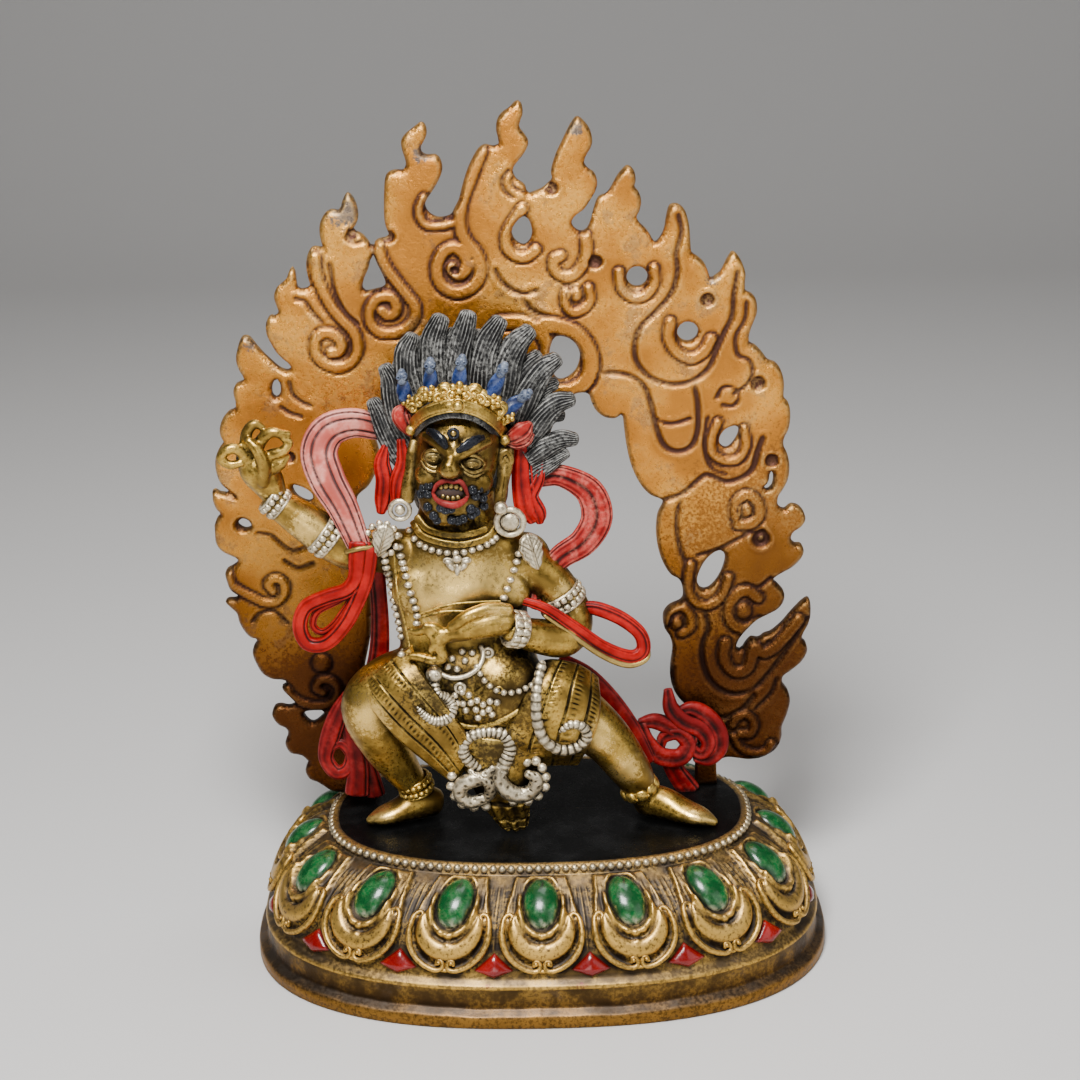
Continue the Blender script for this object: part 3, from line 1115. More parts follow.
def hair_piece():
    """Flame locks with long parallel strands, thin locks behind them, and a plain cap down to the neck."""
    mould = Mould()

    def strands(u, a):
        wave = np.abs(np.sin(3.6 * np.pi * np.cos(a) + 0.9 * np.sin(4 * u) + 0.5 * np.sin(3 * a + 9 * u)))
        return -(0.5 + 0.25 * np.sin(9 * u + 5 * np.cos(a))) * (1 - wave) ** 1.2

    def dark_tip(u, a):
        return 0.9 * ease((u - 0.86) / 0.12) + 0.3 * ease((0.35 - u) / 0.3)

    for depth, locks in ((0, BACK_LOCKS), (4.5, FRONT_LOCKS)):
        for route, half in locks:
            half = sizes(half) * (1.12, 1.12, 1.1, 1.1, 1.35)
            line = seen(route) + (0, depth, 0)
            sweep(mould, line, half, half * 0.66, around=72, per=7, carve=strands, caps=(0, 0.9),
                  crease=dark_tip)
    balls(mould, (-17, 0.5, 172), (24, 3, 19), 32, 16, crease=0.8)
    balls(mould, (-21.5, -1.5, 166), (13.5, 10, 15), 32, 16, crease=0.8)
    balls(mould, (-22, 0, 148), (14.5, 5, 13), 32, 16, crease=0.8)
    balls(mould, (-21, -5.2, 173.6), (12, 11.2, 6.6), 32, 16, crease=0.8)
    return mould


# Crown
CROWN_BAND = """
410,436,-3 414,424,-11 424,413,-17 440,406.5,-20.5 458,405,-21.5 476,409,-20.5 491,418,-17 501,429,-11
505,440,-4"""
HEAD_BAND = """
414,440,-4 417,430,-11.5 427,421,-17.5 442,415.5,-20.6 458,414.5,-21.4 474,418,-20.6 488,426,-17.2
497,436,-11.5 500,447,-5"""
CROWN_CURLS = """
413,408,-12.5 420,402,-15 424,396,-16.5 438,398,-18.6 444,392,-19 451,395,-19.6 467,396,-19.6 474,393,-19
481,399,-18.4 487,401,-17.8 500,411,-14.5 504,420,-11 443,401,-19.5 475,402,-19.3 496,416,-14.5"""
ROSETTE_PLACES = "408,401,-12 431,393,-17.4 459,391,-20 493,401,-17.2 508,416,-12.4"
FINIALS = [
    "405,398,-12 404,389,-11.5 402,378,-11",
    "431,390,-17 431,379,-16.6 430,366,-16",
    "459,388,-19 460,377,-18.6 461,363,-18",
    "491,395,-17 497,383,-16.6 502,370,-16",
    "507,412,-12.5 515,404,-12 524,396,-11.5",
]


def crown_piece():
    """Double-edged band, a row of curls and rosettes above it, and side beads."""
    mould = Mould()
    band = seen(CROWN_BAND)
    sweep(mould, band, [1.7], [0.9], around=14, per=8, face=band - HEAD_MIDDLE, power=3)
    for lift in (-1.8, 0.2, 1.5):
        sweep(mould, band + (0, -0.5, lift), [0.42], around=8, per=8)
    balls(mould, band[4] + (0, -2.0, 0.2), (1.6, 1.4, 1.6), 14, 8)
    ring_round(mould, band[4] + (0, -1.3, 0.2), 1.8, 0.35)
    balls(mould, seen("505,440,-10 411,430,-10"), (1.6, 1.4, 1.6), 14, 8)
    for k, centre in enumerate(seen(CROWN_CURLS)):
        way = 1 if k % 2 else -1
        turn = np.linspace(0.3, 2.1 * np.pi, 10)
        reach = 1.7 - 0.2 * turn
        curl = np.stack([way * reach * np.cos(turn), -0.25 * turn, reach * np.sin(turn)], 1) + centre
        sweep(mould, curl, [0.5, 0.65, 0.45], around=8, per=3)
        balls(mould, centre + (0, -1.2, 0), (0.7, 0.7, 0.7), 8, 5)
        balls(mould, centre + (0.2, 1.2, 0.5), (2.4, 1.6, 2.2), 12, 8)
    for k, centre in enumerate(seen(ROSETTE_PLACES)):
        size = (0.8, 1, 1.15, 1, 0.85)[k]
        for b in np.linspace(0.4, 2 * np.pi + 0.4, 6, endpoint=False):
            away = np.array([math.cos(b), -0.15, math.sin(b)]) * 1.75 * size
            balls(mould, centre + away, (1.0 * size, 0.8, 1.0 * size), 9, 6)
        balls(mould, centre + (0, -0.6, 0), (1.05 * size, 1, 1.05 * size), 10, 6)
    return mould


def head_band_piece():
    mould = Mould()
    band = seen(HEAD_BAND)

    def hatch(u, a):
        return -0.22 * np.abs(np.sin(np.pi * (u * 45 + a)))

    sweep(mould, band, [1.25], [0.6], around=16, per=26, face=band - HEAD_MIDDLE, carve=hatch, power=3)
    return mould


def finials_piece():
    """Blue pointed lumps on the crown."""
    mould = Mould()

    def folds(u, a):
        return -0.35 * np.abs(np.sin(1.5 * a + 3 * u)) ** 3

    for route in FINIALS:
        sweep(mould, seen(route), [2.2, 2.3, 1.2], [1.3, 1.2, 0.8], around=20, per=5, carve=folds)
    return mould


def finial_tops_piece():
    """Worn grey tops of the crown's finials, each a small knobbly skull."""
    mould = Mould()
    for route in FINIALS:
        line = seen(route)
        top = line[2] * 0.85 + line[1] * 0.15
        along = unit(line[2] - line[1])
        for share, size in ((-0.2, 1.5), (0.6, 1.75), (1.35, 1.15)):
            balls(mould, top + along * share * 1.7 + (0.2 * share, -0.3, 0), (size, size * 0.8, size), 12, 8)
        for side in (-0.9, 0.9):
            ring_round(mould, top + along * 1.0 + (side, -1.45, 0), 0.45, 0.3)
    return mould


# Jewellery: routes and places on the body, then two leaves and the earrings
COLLARS = [
    "413,522,0.6 422,531,0.6 438,539,0.6 458,543,0.6 476,540,0.6 489,532,0.6 496,524,0.6",
    "417,517,1.6 427,526,1.6 442,532,1.6 458,535,1.6 474,532,1.6 486,525,1.6",
]
CHEST_CREASES = [
    "420,613,0 437,608,0 455,604,0 478,602,0 500,600,0",
    "420,616,0 440,612,0 457,611,0 472,612,0",
    "395,545,0 397,575,0 402,602,0 408,630,0 412,655,0",
]
BELT = "424,699,0.2 438,712,0.2 455,722,0.2 475,727,0.2 500,722,0.2 524,708,0.2 546,690,0.2"
NECKLACE = "409,530,0.9 416,537,0.9 428,546,0.9 443,551,0.9 460,552,0.9 475,548,0.9 489,541,0.9 496,533,0.9"
PENDANT = "457,559,1.4 457,567,1.2"
GARLANDS = [
    "387,532,1 386,552,1 390,580,0.9 394,600,0.9 399,622,0.9 403,645,1 406,665,1.2 409,688,1.4",
    "399,534,1 402,552,0.9 407,575,0.8 413,597,0.8 417,612,0.8 417,622,0.8",
    "519,552,1 515,566,0.9 509,582,0.8 504,596,0.8",
]
BELLY_BEADS = "477,668,1 482,678,0.9 490,687,0.8 500,693,0.8 511,694,0.8 522,691,0.8 532,684,0.8 538,674,0.9"
BEAD_CLUSTER = """
455,697,1 462,694,1 469,697,1 471,704,1 463,705,1 477,702,1 476,711,1 483,706,1 490,703,1 497,704,1
483,714,1 489,711,1 492,716,1 478,719,1 457,704,1 466,711,1 448,668,1.2 457,671,1.2 452,660,1.2
465,662,1.2 472,654,1.2 462,653,1.2"""
BELT_ARC = "431,662,1.5 438,672,1.6 448,679,1.6 459,680,1.6 471,676,1.6 480,667,1.6 483,655,1.6 481,648,1.4"
ROSETTES = "488,654,1.6 460,690,1.4"
LEFT_LEAF = (-45.2, -14.5, 137.6)
RIGHT_LEAF = (-0.8, -13.2, 132.6)
EARRINGS = "400,510,-12.5 510,522,-12.5"


def trunk_front(x, z):
    """Depth of the front of the rough trunk and belly at x and z."""
    heights = ROUGH_TRUNK[:, 2]
    middle_x, middle_y, wide, deep = (np.interp(z, heights, ROUGH_TRUNK[:, k]) for k in (0, 1, 3, 4))
    off = min(0.97, abs(x - middle_x) / wide)
    y = middle_y - deep * np.sqrt(1 - off * off)
    belly_x, belly_y, belly_z = BELLY
    wide, deep, tall = ROUGH_BELLY
    over = 1 - ((x - belly_x) / wide) ** 2 - ((z - belly_z) / tall) ** 2
    return min(y, belly_y - deep * np.sqrt(over)) if over > 0 else y


def on_body(text):
    """Points of places on the trunk. A word is pixels across, pixels down, and the height off the body."""
    points = []
    for across, down, off in words(text):
        y = FIRST_DEPTH
        for _ in range(DEPTH_ROUNDS):
            x, z = place_at(across, down, y)
            y = 0.5 * y + 0.5 * (trunk_front(x, z) - off)
        x, z = place_at(across, down, y)
        points.append((x, round(float(y), 1), z))
    return np.array(points)


def string_of(mould, text, pitch, size, trees):
    """Beads a pitch apart along a route, laid on the body."""
    line = evenly(smooth_line(on_body(text), per=10), pitch)
    balls(mould, laid(line, trees, 0.45), size, 10, 6)


def bangle(mould, centre, axis, radius, rows=(-1.2, 1.2), count=16, size=(1.15, 0.8, 1.0)):
    """Rows of squared beads round a limb, between two thin rings."""
    centre, axis = np.array(centre, float), unit(np.array(axis, float))
    side = unit(np.cross(axis, (0.1, 1, 0.05)))
    out = np.cross(side, axis)
    a = np.linspace(0, 2 * np.pi, 40, endpoint=False)
    hoop = radius * (side * np.cos(a)[:, None] + out * np.sin(a)[:, None])
    net, faces = ball_net(10, 6)
    net = np.sign(net) * np.abs(net) ** 0.75
    for lift in rows:
        for b in np.linspace(0, 2 * np.pi, count, endpoint=False):
            away = side * np.cos(b) + out * np.sin(b)
            along = np.cross(axis, unit(away))
            axes = np.stack([along * size[0], unit(away) * size[1], axis * size[2]])
            mould.add(net @ axes + centre + axis * lift + away * radius, faces)
    for lift in (min(rows) - 1.1, max(rows) + 1.1):
        loop = np.vstack([hoop, hoop[:1]]) * 0.99 + centre + axis * lift
        sweep(mould, loop[::4], [0.5], around=8, per=4, face=tuple(axis), caps=(0, 0))


def ring_round(mould, centre, radius, thick):
    """A closed hoop that faces the viewer."""
    centre, axis = np.array(centre, float), np.array(FRONT, float)
    side = unit(np.cross(axis, (0, 0, 1)))
    up = np.cross(side, axis)
    a = np.linspace(0, 2 * np.pi, 32, endpoint=False)[:, None]
    b = np.linspace(0, 2 * np.pi, 12, endpoint=False)[None, :, None]
    away = side * np.cos(a) + up * np.sin(a)
    points = centre + away[:, None] * (radius + thick * np.cos(b)) + axis * thick * np.sin(b)
    points = np.concatenate([points, points[:1]])
    mould.add(points, grid_faces(33, 12))


def leaf(mould, centre, along, across, size):
    """A domed pointed leaf with a midrib, slanted veins and a raised border."""
    ribs = 5
    centre, along, across = (np.array(v, float) for v in (centre, along, across))
    along = unit(along)
    across = unit(across - along * (across @ along))
    normal = np.cross(across, along)
    normal = normal if normal[1] < 0 else -normal
    rise = np.linspace(0.02, 1, 12)[:, None]
    turn = np.linspace(0, 2 * np.pi, 56, endpoint=False)[None, :]
    long_way = rise * (np.cos(turn) + 0.14 * np.cos(turn) ** 3)
    wide_way = rise * np.sin(turn) * (0.7 - 0.2 * np.cos(turn)) * (1 + 0.07 * np.cos(2 * ribs * turn))
    veins = np.abs(np.sin(ribs * (long_way + 1.1 * np.abs(wide_way)) * 1.9))
    midrib = bump_at(wide_way, 0.07)
    border = bump_at(rise - 0.86, 0.09)
    dome = 0.5 * np.sqrt(1 - rise**2 * 0.98) + 0.12 * veins * rise + 0.2 * midrib + 0.14 * border
    p = (centre + along * (size * long_way)[..., None] + across * (size * wide_way)[..., None]
         + normal * (0.6 * size * dome)[..., None])
    dark = 0.6 * (1 - veins) ** 3 * (1 - midrib) * (1 - border) + 0.35 * bump_at(rise - 0.74, 0.04)
    mould.add(p, grid_faces(12, 56), np.clip(dark - 0.6 * veins**2, -1, 1), shell=False)


def silver_piece(trees):
    """Silver beads, earrings, bangles and shoulder leaves."""
    mould = Mould()
    string_of(mould, NECKLACE, 2.35, (1.1, 1.0, 1.0), trees)
    for text in GARLANDS:
        string_of(mould, text, 2.3, (1.3, 1.1, 1.0), trees)
    string_of(mould, BELLY_BEADS, 2.2, (1.0, 1.0, 0.95), trees)
    balls(mould, laid(on_body(BEAD_CLUSTER), trees, 0.4), (1.05, 1.05, 1.05), 12, 8)
    sweep(mould, laid(smooth_line(on_body(BELT_ARC)), trees, 0.5, soften=3), [0.8], around=10, per=3)
    for centre in laid(on_body(ROSETTES), trees, 0.6):
        ring_round(mould, centre, 1.4, 0.5)
        balls(mould, centre, (0.8, 0.8, 0.8), 10, 6)
    drop = laid(on_body(PENDANT), trees, 0.8)[0]
    balls(mould, drop + (0, -0.3, 0.3), (1.4, 1.1, 1.3), 12, 8)
    for angle, size in ((-1.3, 1.4), (-0.65, 1.75), (0, 2.3), (0.65, 1.75), (1.3, 1.4)):
        c, n = math.cos(angle), math.sin(angle)
        petal = ((c, 0, n), (0, 1, 0), (-n, 0, c))
        at = drop + np.array([n, 0, -c]) * (1.3 + size)
        balls(mould, at + (0, 0.5, 0), (1.25, 0.6, size + 0.3), 12, 8, petal, crease=1.0)
        balls(mould, at, (0.95, 0.9, size), 12, 8, petal)
    leaf(mould, LEFT_LEAF, (-0.3, 0, -1), (1, 0.1, -0.3), 4.6)
    leaf(mould, RIGHT_LEAF, (0.3, -0.2, -1), (1, 0.3, 0.35), 5.0)
    for a in np.linspace(0.2, 2 * np.pi, 12, endpoint=False):
        spot = np.array(LEFT_LEAF) + (4.6 * math.cos(a), 0.6, 5 * math.sin(a))
        balls(mould, spot, (1.1, 0.9, 1.1), 9, 6)
    left, right = seen(EARRINGS)
    ring_round(mould, left, 2.9, 0.75)
    balls(mould, left + (0, 0.2, 0), (1.6, 1.3, 1.6), 14, 8)
    ring_round(mould, right, 4.0, 0.95)
    balls(mould, right + (0, 0.3, 0), (2.9, 1.5, 2.9), 14, 8)
    balls(mould, right + (-2.6, -0.6, 4.6), (2.1, 1.8, 2.1), 14, 8)
    bangle(mould, (-62.2, -9.2, 137.4), (-1, 0, 0.8), 6.2, count=18, size=(1.0, 0.8, 1.05))
    bangle(mould, (-76.8, -10, 148.7), (-1, 0, 0.85), 4.5, count=14, size=(0.95, 0.8, 1.0))
    bangle(mould, (7.8, -5.2, 114.4), (0.55, 0, -1), 7.0, count=20, size=(1.0, 0.8, 1.0))
    wrist = seen("516,629,-18.3")[0]
    bangle(mould, wrist, (-1, -0.5, 0.35), 4.9, rows=(-1.0, 1.4), count=13, size=(1.25, 1.0, 1.5))
    return mould


# Snakes and claws on the skirt, each a route with half widths
SNAKES = [
    ("542,664,-19 538,680,-21.5 536,698,-22.5 537,718,-22.5 544,738,-22.5 560,749,-22 577,747,-21.5 "
     "587,735,-21 582,724,-21.5 570,722,-22 561,728,-22", "1.5 1.5 1.6 1.6 1.6 1.7 1.6 1.6 1.5 1.3 0.9"),
    ("434,684,-24 437,694,-24.5 446,700,-25 452,709,-25 447,717,-24.5 436,717,-24 426,711,-23.5 "
     "419,703,-23", "1.5 1.4 1.6 1.8 1.8 1.5 1.2 0.8"),
    ("480,768,-21 470,762,-22 463,751,-22.5 467,739,-22.5 480,733,-22.5 493,732,-22.5 505,736,-22.5 "
     "510,748,-22.5 506,760,-22.5 500,772,-22", "1.6 1.7 1.8 1.8 1.7 1.8 2 2 2.1 2.2"),
]
CLAWS = [
    ("493,768,-22 484,777,-22.5 473,780,-23 462,785,-22.5 461,796,-22 471,802,-22 483,799,-22",
     "1.6 2.4 2.8 2.8 2.6 2.4 2.2"),
    ("470,771,-22.5 478,778,-23.5 488,783,-23.5 490,793,-22.5 481,802,-21.5", "1.0 1.5 1.9 2.1 1.7"),
    ("500,768,-22.5 500,780,-23 508,791,-23 521,795,-22.5 533,790,-22.5 536,779,-22.5 528,774,-22.5",
     "2.0 2.6 3 3 2.7 2.3 1.6"),
]
CLAW_BALLS = """
452,776,-21 451,786,-21 455,796,-20.5 462,804,-20.5 474,807,-20.5 486,806,-20.5 527,762,-21 536,761,-21
542,768,-21 546,777,-20.5 545,787,-20.5 538,796,-20.5 528,801,-20.5 513,801,-20.5"""


def snakes_piece(trees):
    """Ribbed snakes, and swollen claws with a fringe of balls."""
    mould = Mould()

    def ribs(u, a):
        return -0.4 * (1 - np.abs(np.sin(np.pi * u * 24))) ** 2

    for k, (route, half) in enumerate(SNAKES):
        half = sizes(half)
        line = seen(route)
        if k < 2:
            line = laid(line, trees, 0.7, soften=1)
        sweep(mould, line, half * 1.05, half * 0.85, around=14, per=14, carve=ribs)
    head = laid(seen("434,678,-24"), trees, 1.2)[0]
    balls(mould, head, (2.6, 2.3, 2.5), 16, 10)
    balls(mould, [head + (-1.2, -2, 0.4), head + (0.8, -2, 0.6)], (0.6, 0.5, 0.6), 8, 5)

    def pits(u, a):
        return -0.3 * ease(np.sin(u * 40) * np.sin(a * 4 + 9 * u) * 2 - 0.9)

    for route, half in CLAWS:
        half = sizes(half) * 0.88
        sweep(mould, seen(route), half, half * 0.8, around=30, per=14, carve=pits)
    balls(mould, seen(CLAW_BALLS), (1.55, 1.4, 1.55), 12, 8)
    return mould


# Skirt and front cloth: nets of places, row by row, that a smooth sheet follows
SKIRT_LEFT = [
    "363,690,-15 373,709,-21.5 397,738,-22.5 428,764,-20.5 453,783,-18.5",
    "372,676,-18 386,695,-24 410,722,-25 437,747,-23 461,775,-19.5",
    "388,662,-18 402,680,-24 426,706,-26 449,732,-24 468,765,-20",
    "412,645,-16 420,668,-22 439,696,-25 461,724,-24 478,755,-20",
]
SKIRT_RIGHT = [
    "545,660,-13 560,660,-15 580,665,-13 597,678,-9",
    "530,685,-20 550,682,-21 575,686,-20.5 600,702,-17",
    "515,712,-23 540,710,-23.5 570,710,-23 598,722,-19.5",
    "500,742,-21 527,746,-22 560,744,-21.5 590,744,-18",
    "500,765,-14 525,768,-15 555,765,-14 578,764,-10",
]
FRONT_CLOTH = [
    "452,728,-19 475,735,-22 500,738,-22.5 525,735,-22 548,725,-19",
    "462,762,-18 480,768,-20.5 502,771,-21 522,768,-20.5 540,760,-18",
    "480,795,-17 490,799,-19 505,801,-19.5 518,799,-19 530,793,-17",
    "496,815,-16 501,819,-17.5 511,821,-18 521,819,-17.5 528,813,-16",
    "506,826,-15.5 509,828,-16.5 515,829,-17 521,828,-16.5 525,825,-15.5",
]


def sheet_net(mould, net, thick, trees, per, carve):
    """A smooth sheet through a net of points, kept off the body and closed at its edges."""
    net = np.stack([seen(row) for row in net])
    rows = smooth_line(net.reshape(len(net), -1), False, per).reshape(-1, net.shape[1], 3)
    grid = smooth_line(rows.transpose(1, 0, 2).reshape(net.shape[1], -1), False, per)
    grid = grid.reshape(-1, len(rows), 3).transpose(1, 0, 2)
    for point in grid.reshape(-1, 3):
        hit = front_of(trees[0], point[0], point[2])
        if hit is not None:
            point[1] = min(point[1], hit.y - 0.45 * thick)
    for _ in range(per // 5):
        grid[1:-1, :, 1] = (grid[:-2, :, 1] + 2 * grid[1:-1, :, 1] + grid[2:, :, 1]) / 4
        grid[:, 1:-1, 1] = (grid[:, :-2, 1] + 2 * grid[:, 1:-1, 1] + grid[:, 2:, 1]) / 4
    normal = unit(np.cross(np.gradient(grid, axis=1), np.gradient(grid, axis=0)))
    normal = np.where(normal[..., 1:2] > 0, -normal, normal) if np.mean(normal[..., 1]) > 0 else normal
    v, u = np.meshgrid(np.linspace(0, 1, grid.shape[1]), np.linspace(0, 1, grid.shape[0]))
    height, dark = carve(u, v)
    edge = np.minimum(np.minimum(u, 1 - u) * len(net), np.minimum(v, 1 - v) * net.shape[1])
    slim = np.sqrt(np.clip(edge * 6, 0.05, 1))
    front = grid + normal * ((thick * 0.5 + height) * slim)[..., None]
    back = grid - normal * (thick * 0.5 * slim)[..., None]
    loop = np.concatenate([front, back[:, ::-1]], 1)
    pinch = [(np.concatenate([g, g[::-1]]))[None] for g in (grid[0], grid[-1])]
    dark = np.concatenate([np.clip(dark, 0, 1), 0 * height], 1)
    dark = np.vstack([dark[:1], dark, dark[-1:]])
    mould.add(np.concatenate([pinch[0], loop, pinch[1]]), grid_faces(len(loop) + 2, loop.shape[1]), dark)


def skirt_piece(trees):
    """Tiger-skin skirt over the thighs, with hatched borders, and the pleated cloth in front."""
    mould = Mould()

    def hatched(u, v):
        lines = (1 - np.abs(np.sin(v * 92 + u * 6))) ** 3
        border = bump_at(u - 0.3, 0.045) + bump_at(u - 0.62, 0.035)
        seam = bump_at(u - 0.4, 0.012) + bump_at(u - 0.2, 0.012) + bump_at(u - 0.72, 0.012)
        cut = 0.55 * lines * border + 0.45 * seam
        return 0.35 * np.sin(v * 7 + u * 3) - cut, 2 * cut

    sheet_net(mould, SKIRT_LEFT, 2.0, trees, 28, hatched)

    def right_hatched(u, v):
        lines = (1 - np.abs(np.sin(u * 66))) ** 3
        border = bump_at(v - 0.43, 0.035) + bump_at(v - 0.7, 0.035) + bump_at(v - 0.9, 0.03)
        seam = bump_at(v - 0.36, 0.012) + bump_at(v - 0.62, 0.012) + bump_at(v - 0.84, 0.012)
        cut = 0.55 * lines * border + 0.5 * seam
        return 0.35 * np.sin(v * 9) - cut, 2 * cut

    sheet_net(mould, SKIRT_RIGHT, 2.0, trees, 28, right_hatched)

    def pleats(u, v):
        cut = 0.9 * bump_at(u - 0.52, 0.012) + 0.9 * bump_at(u - 0.72, 0.012) + 0.6 * bump_at(u - 0.86, 0.012)
        fold = np.sin(v * 26) * ease((u - 0.3) / 0.3)
        return 0.35 * fold - cut, cut + 0.5 * np.clip(-fold, 0, 1)

    sheet_net(mould, FRONT_CLOTH, 2.4, trees, 16, pleats)
    return mould


# Scarf: flat bands as routes with half widths; the first is the faded one
FADED_ARC = ("392,432,1 376,427,0 352,423,-2 329,431,-4 319,452,-6.5 327,479,-9 343,508,-12 359,545,-14",
             "3 4 4.6 5.3 5.6 5.5 4.7 3.6")
SCARF = [
    ("360,543,-14.5 359,560,-15 357,578,-15 347,590,-15 326,597,-14.5 306,607,-14 300,626,-13.5 "
     "308,643,-13.5 326,643,-14 344,626,-14.5 357,602,-15 366,577,-15 370,548,-14.5",
     "3.4 3.2 2.8 2.4 2.3 2.3 2.3 2.3 2.3 2.3 2.4 2.5 2.6"),
    ("356,588,-14 338,600,-14 318,611,-13.5 313,625,-13 322,632,-13 334,625,-13.5 346,609,-14 356,592,-14",
     "1.4 1.3 1.2 1.1 1.1 1.2 1.3 1.4"),
    ("538,476,0 562,476,0 589,491,-1 597,517,-2 584,541,-3.5 561,557,-5 544,577,-6.5 536,606,-9",
     "3.4 3.4 4.4 4.8 4.4 3.8 3.2 2.6"),
    ("520,600,-13 545,608,-14 573,626,-14 603,647,-13 630,657,-12 643,650,-11 640,634,-10 622,619,-9 "
     "598,609,-8 580,607,-7", "1.2 1.6 1.9 2.1 2.2 2.2 2.1 2.2 2.2 1.8"),
    ("386,446,-4 382,462,-4 385,480,-5 383,500,-5 381,512,-6", "1.2 2.4 2.8 2.6 1.4"),
    ("402,440,-5 404,462,-5 398,482,-6 396,500,-7", "1.6 2.4 2.6 1.6"),
    ("522,440,-4 522,462,-4 523,485,-5 527,508,-6 533,520,-6", "2.0 3.0 3.4 3.6 1.8"),
    ("541,458,-3 538,478,-4 530,496,-5.5 538,513,-6 540,522,-6", "0.9 2.0 2.6 2.6 1.2"),
]
LOW_RIBBONS = [
    ("374,556,-4 378,590,-1 380,625,1 378,660,2 368,690,2", "3.0 2.6 2.8 3.2 3.0"),
    ("560,662,2 585,676,3 608,699,4.5 630,728,6 648,760,7.5", "3.0 3.4 3.6 3.2 2.6"),
]
BOWS = [
    ("412,434,-8 405,424,-9 401,414,-9 404,406,-8.5", "1.2 2.4 2.8 1.2"),
    ("507,440,-8 515,436,-9 524,430,-9 530,424,-8.5", "1.4 2.6 2.8 1.2"),
    ("508,442,-8 517,443,-8.5 526,440,-8.5 532,434,-8.5", "1.2 1.8 1.8 0.9"),
]
TAILS = [
    ("347,694,-1 339,712,0.5 331,735,1.5 326,757,2 336,772,2 348,768,2 351,754,2 341,743,1.5 330,748,1.5",
     "1.4 2.8 3.2 2.4 2.3 2.2 2.0 1.7 1.4"),
    ("352,700,1 352,722,2 355,745,2 358,768,2 357,792,2", "2.0 3.2 3.4 3.4 3.8"),
    ("372,740,4 366,757,4 371,775,4 376,793,4", "1.4 2.6 2.8 3"),
    ("668,690,9 671,708,9 683,721,9 700,729,9 708,742,9 702,753,9 692,747,9 694,737,9",
     "1.4 2.6 3.0 2.8 2.4 2.1 1.8 1.3"),
    ("641,724,8 647,742,8 661,756,8 680,757,8.5 688,744,9 678,733,9 664,737,9 660,748,9",
     "1.8 2.7 3.0 3.0 2.7 2.4 2.0 1.4"),
    ("640,723,8 654,721,8.5 668,726,9 682,736,9", "1.6 2.5 2.6 1.8"),
    ("677,712,9 692,708,9.5 707,716,10 718,731,10 719,747,10 709,758,10 696,757,9.5",
     "1.3 2.2 2.8 2.9 2.8 2.5 1.8"),
    ("668,755,9 676,772,10.5 689,790,12", "2.8 3.2 3.6"),
]


def grooved(count, depth):
    """Long grooves that run the length of a band."""

    def carve(u, a):
        place = np.cos(a) * count * np.pi / 2
        return -depth * (1 - np.abs(np.sin(place + np.pi / 2 * (count % 2 == 0)))) ** 4 * (np.sin(a) > -0.2)

    return carve


def bands(mould, rows, thick, carve, around=33):
    for route, half in rows:
        half = sizes(half)
        sweep(mould, seen(route), half, np.minimum(half * 0.7, thick), around=around, per=10, power=3,
              carve=carve, caps=(0.6, 0.8))


def scarf_piece():
    mould = Mould()
    bands(mould, SCARF[:2], 1.6, grooved(2, 0.7))
    bands(mould, SCARF[3:4], 1.5, grooved(4, 0.7))
    bands(mould, SCARF[4:], 1.7, grooved(3, 1.1))
    return mould


def low_ribbons_piece():
    mould = Mould()
    bands(mould, LOW_RIBBONS, 1.5, grooved(4, 0.7))
    bands(mould, TAILS[:3] + TAILS[-1:], 1.8, grooved(3, 0.6))
    bands(mould, TAILS[3:-1], 1.7, grooved(1, 0.5))
    return mould


def right_arc_piece():
    mould = Mould()
    bands(mould, SCARF[2:3], 1.5, grooved(5, 0.8), around=56)
    bands(mould, BOWS, 1.5, grooved(4, 0.7))
    return mould


def faded_piece():
    mould = Mould()
    bands(mould, [FADED_ARC], 1.7, grooved(4, 0.9), around=72)
    return mould


LOOP_EDGE = "545,616,-15 573,636,-15 603,656,-14 628,665,-13 646,659,-11.5 649,648,-10.5"
CUFF = "347,552,-15 358,549,-16.2 372,547,-15"


def scarf_edge_piece():
    """Gilt edge of the scarf loop by the forearm, and the cuff of the raised arm's scarf."""
    mould = Mould()
    sweep(mould, seen(LOOP_EDGE), [0.6, 0.9, 1.0, 1.0, 0.9, 0.5], around=10, per=8)
    sweep(mould, seen(CUFF), [0.8], around=10, per=8)
    return mould


# Finishes

def wire(tree, kind, inputs, **settings):
    """Adds a node. An input is a number, a colour, or another node's output."""
    node = tree.nodes.new(kind)
    for key, value in settings.items():
        setattr(node, key, value)
    for key, value in inputs.items():
        if isinstance(value, bpy.types.NodeSocket):
            tree.links.new(value, node.inputs[key])
        else:
            node.inputs[key].default_value = value
    return node


def opaque(colour):
    """A colour with its fourth value, or another node's output as it is."""
    return colour if isinstance(colour, bpy.types.NodeSocket) else (*colour[:3], 1)


def mixed(tree, share, a, b, blend="MIX"):
    """Colour a turned into colour b by a share."""
    inputs = {0: share, 6: opaque(a), 7: opaque(b)}
    return wire(tree, "ShaderNodeMix", inputs, data_type="RGBA", blend_type=blend).outputs[2]


def maths(tree, kind, a, b=0.0, clamp=False):
    return wire(tree, "ShaderNodeMath", {0: a, 1: b}, operation=kind, use_clamp=clamp).outputs[0]


def span(tree, value, low, high, to_low=0.0, to_high=1.0):
    """A value from low to high mapped smoothly and clamped."""
    inputs = {0: value, 1: low, 2: high, 3: to_low, 4: to_high}
    return wire(tree, "ShaderNodeMapRange", inputs, interpolation_type="SMOOTHSTEP").outputs[0]


def speckle(tree, place, size, detail=3.0, rough=0.6):
    """Noise whose blotches are about size millimetres across."""
    inputs = {"Vector": place, "Scale": 1000 / size, "Detail": detail, "Roughness": rough}
    return wire(tree, "ShaderNodeTexNoise", inputs).outputs["Fac"]


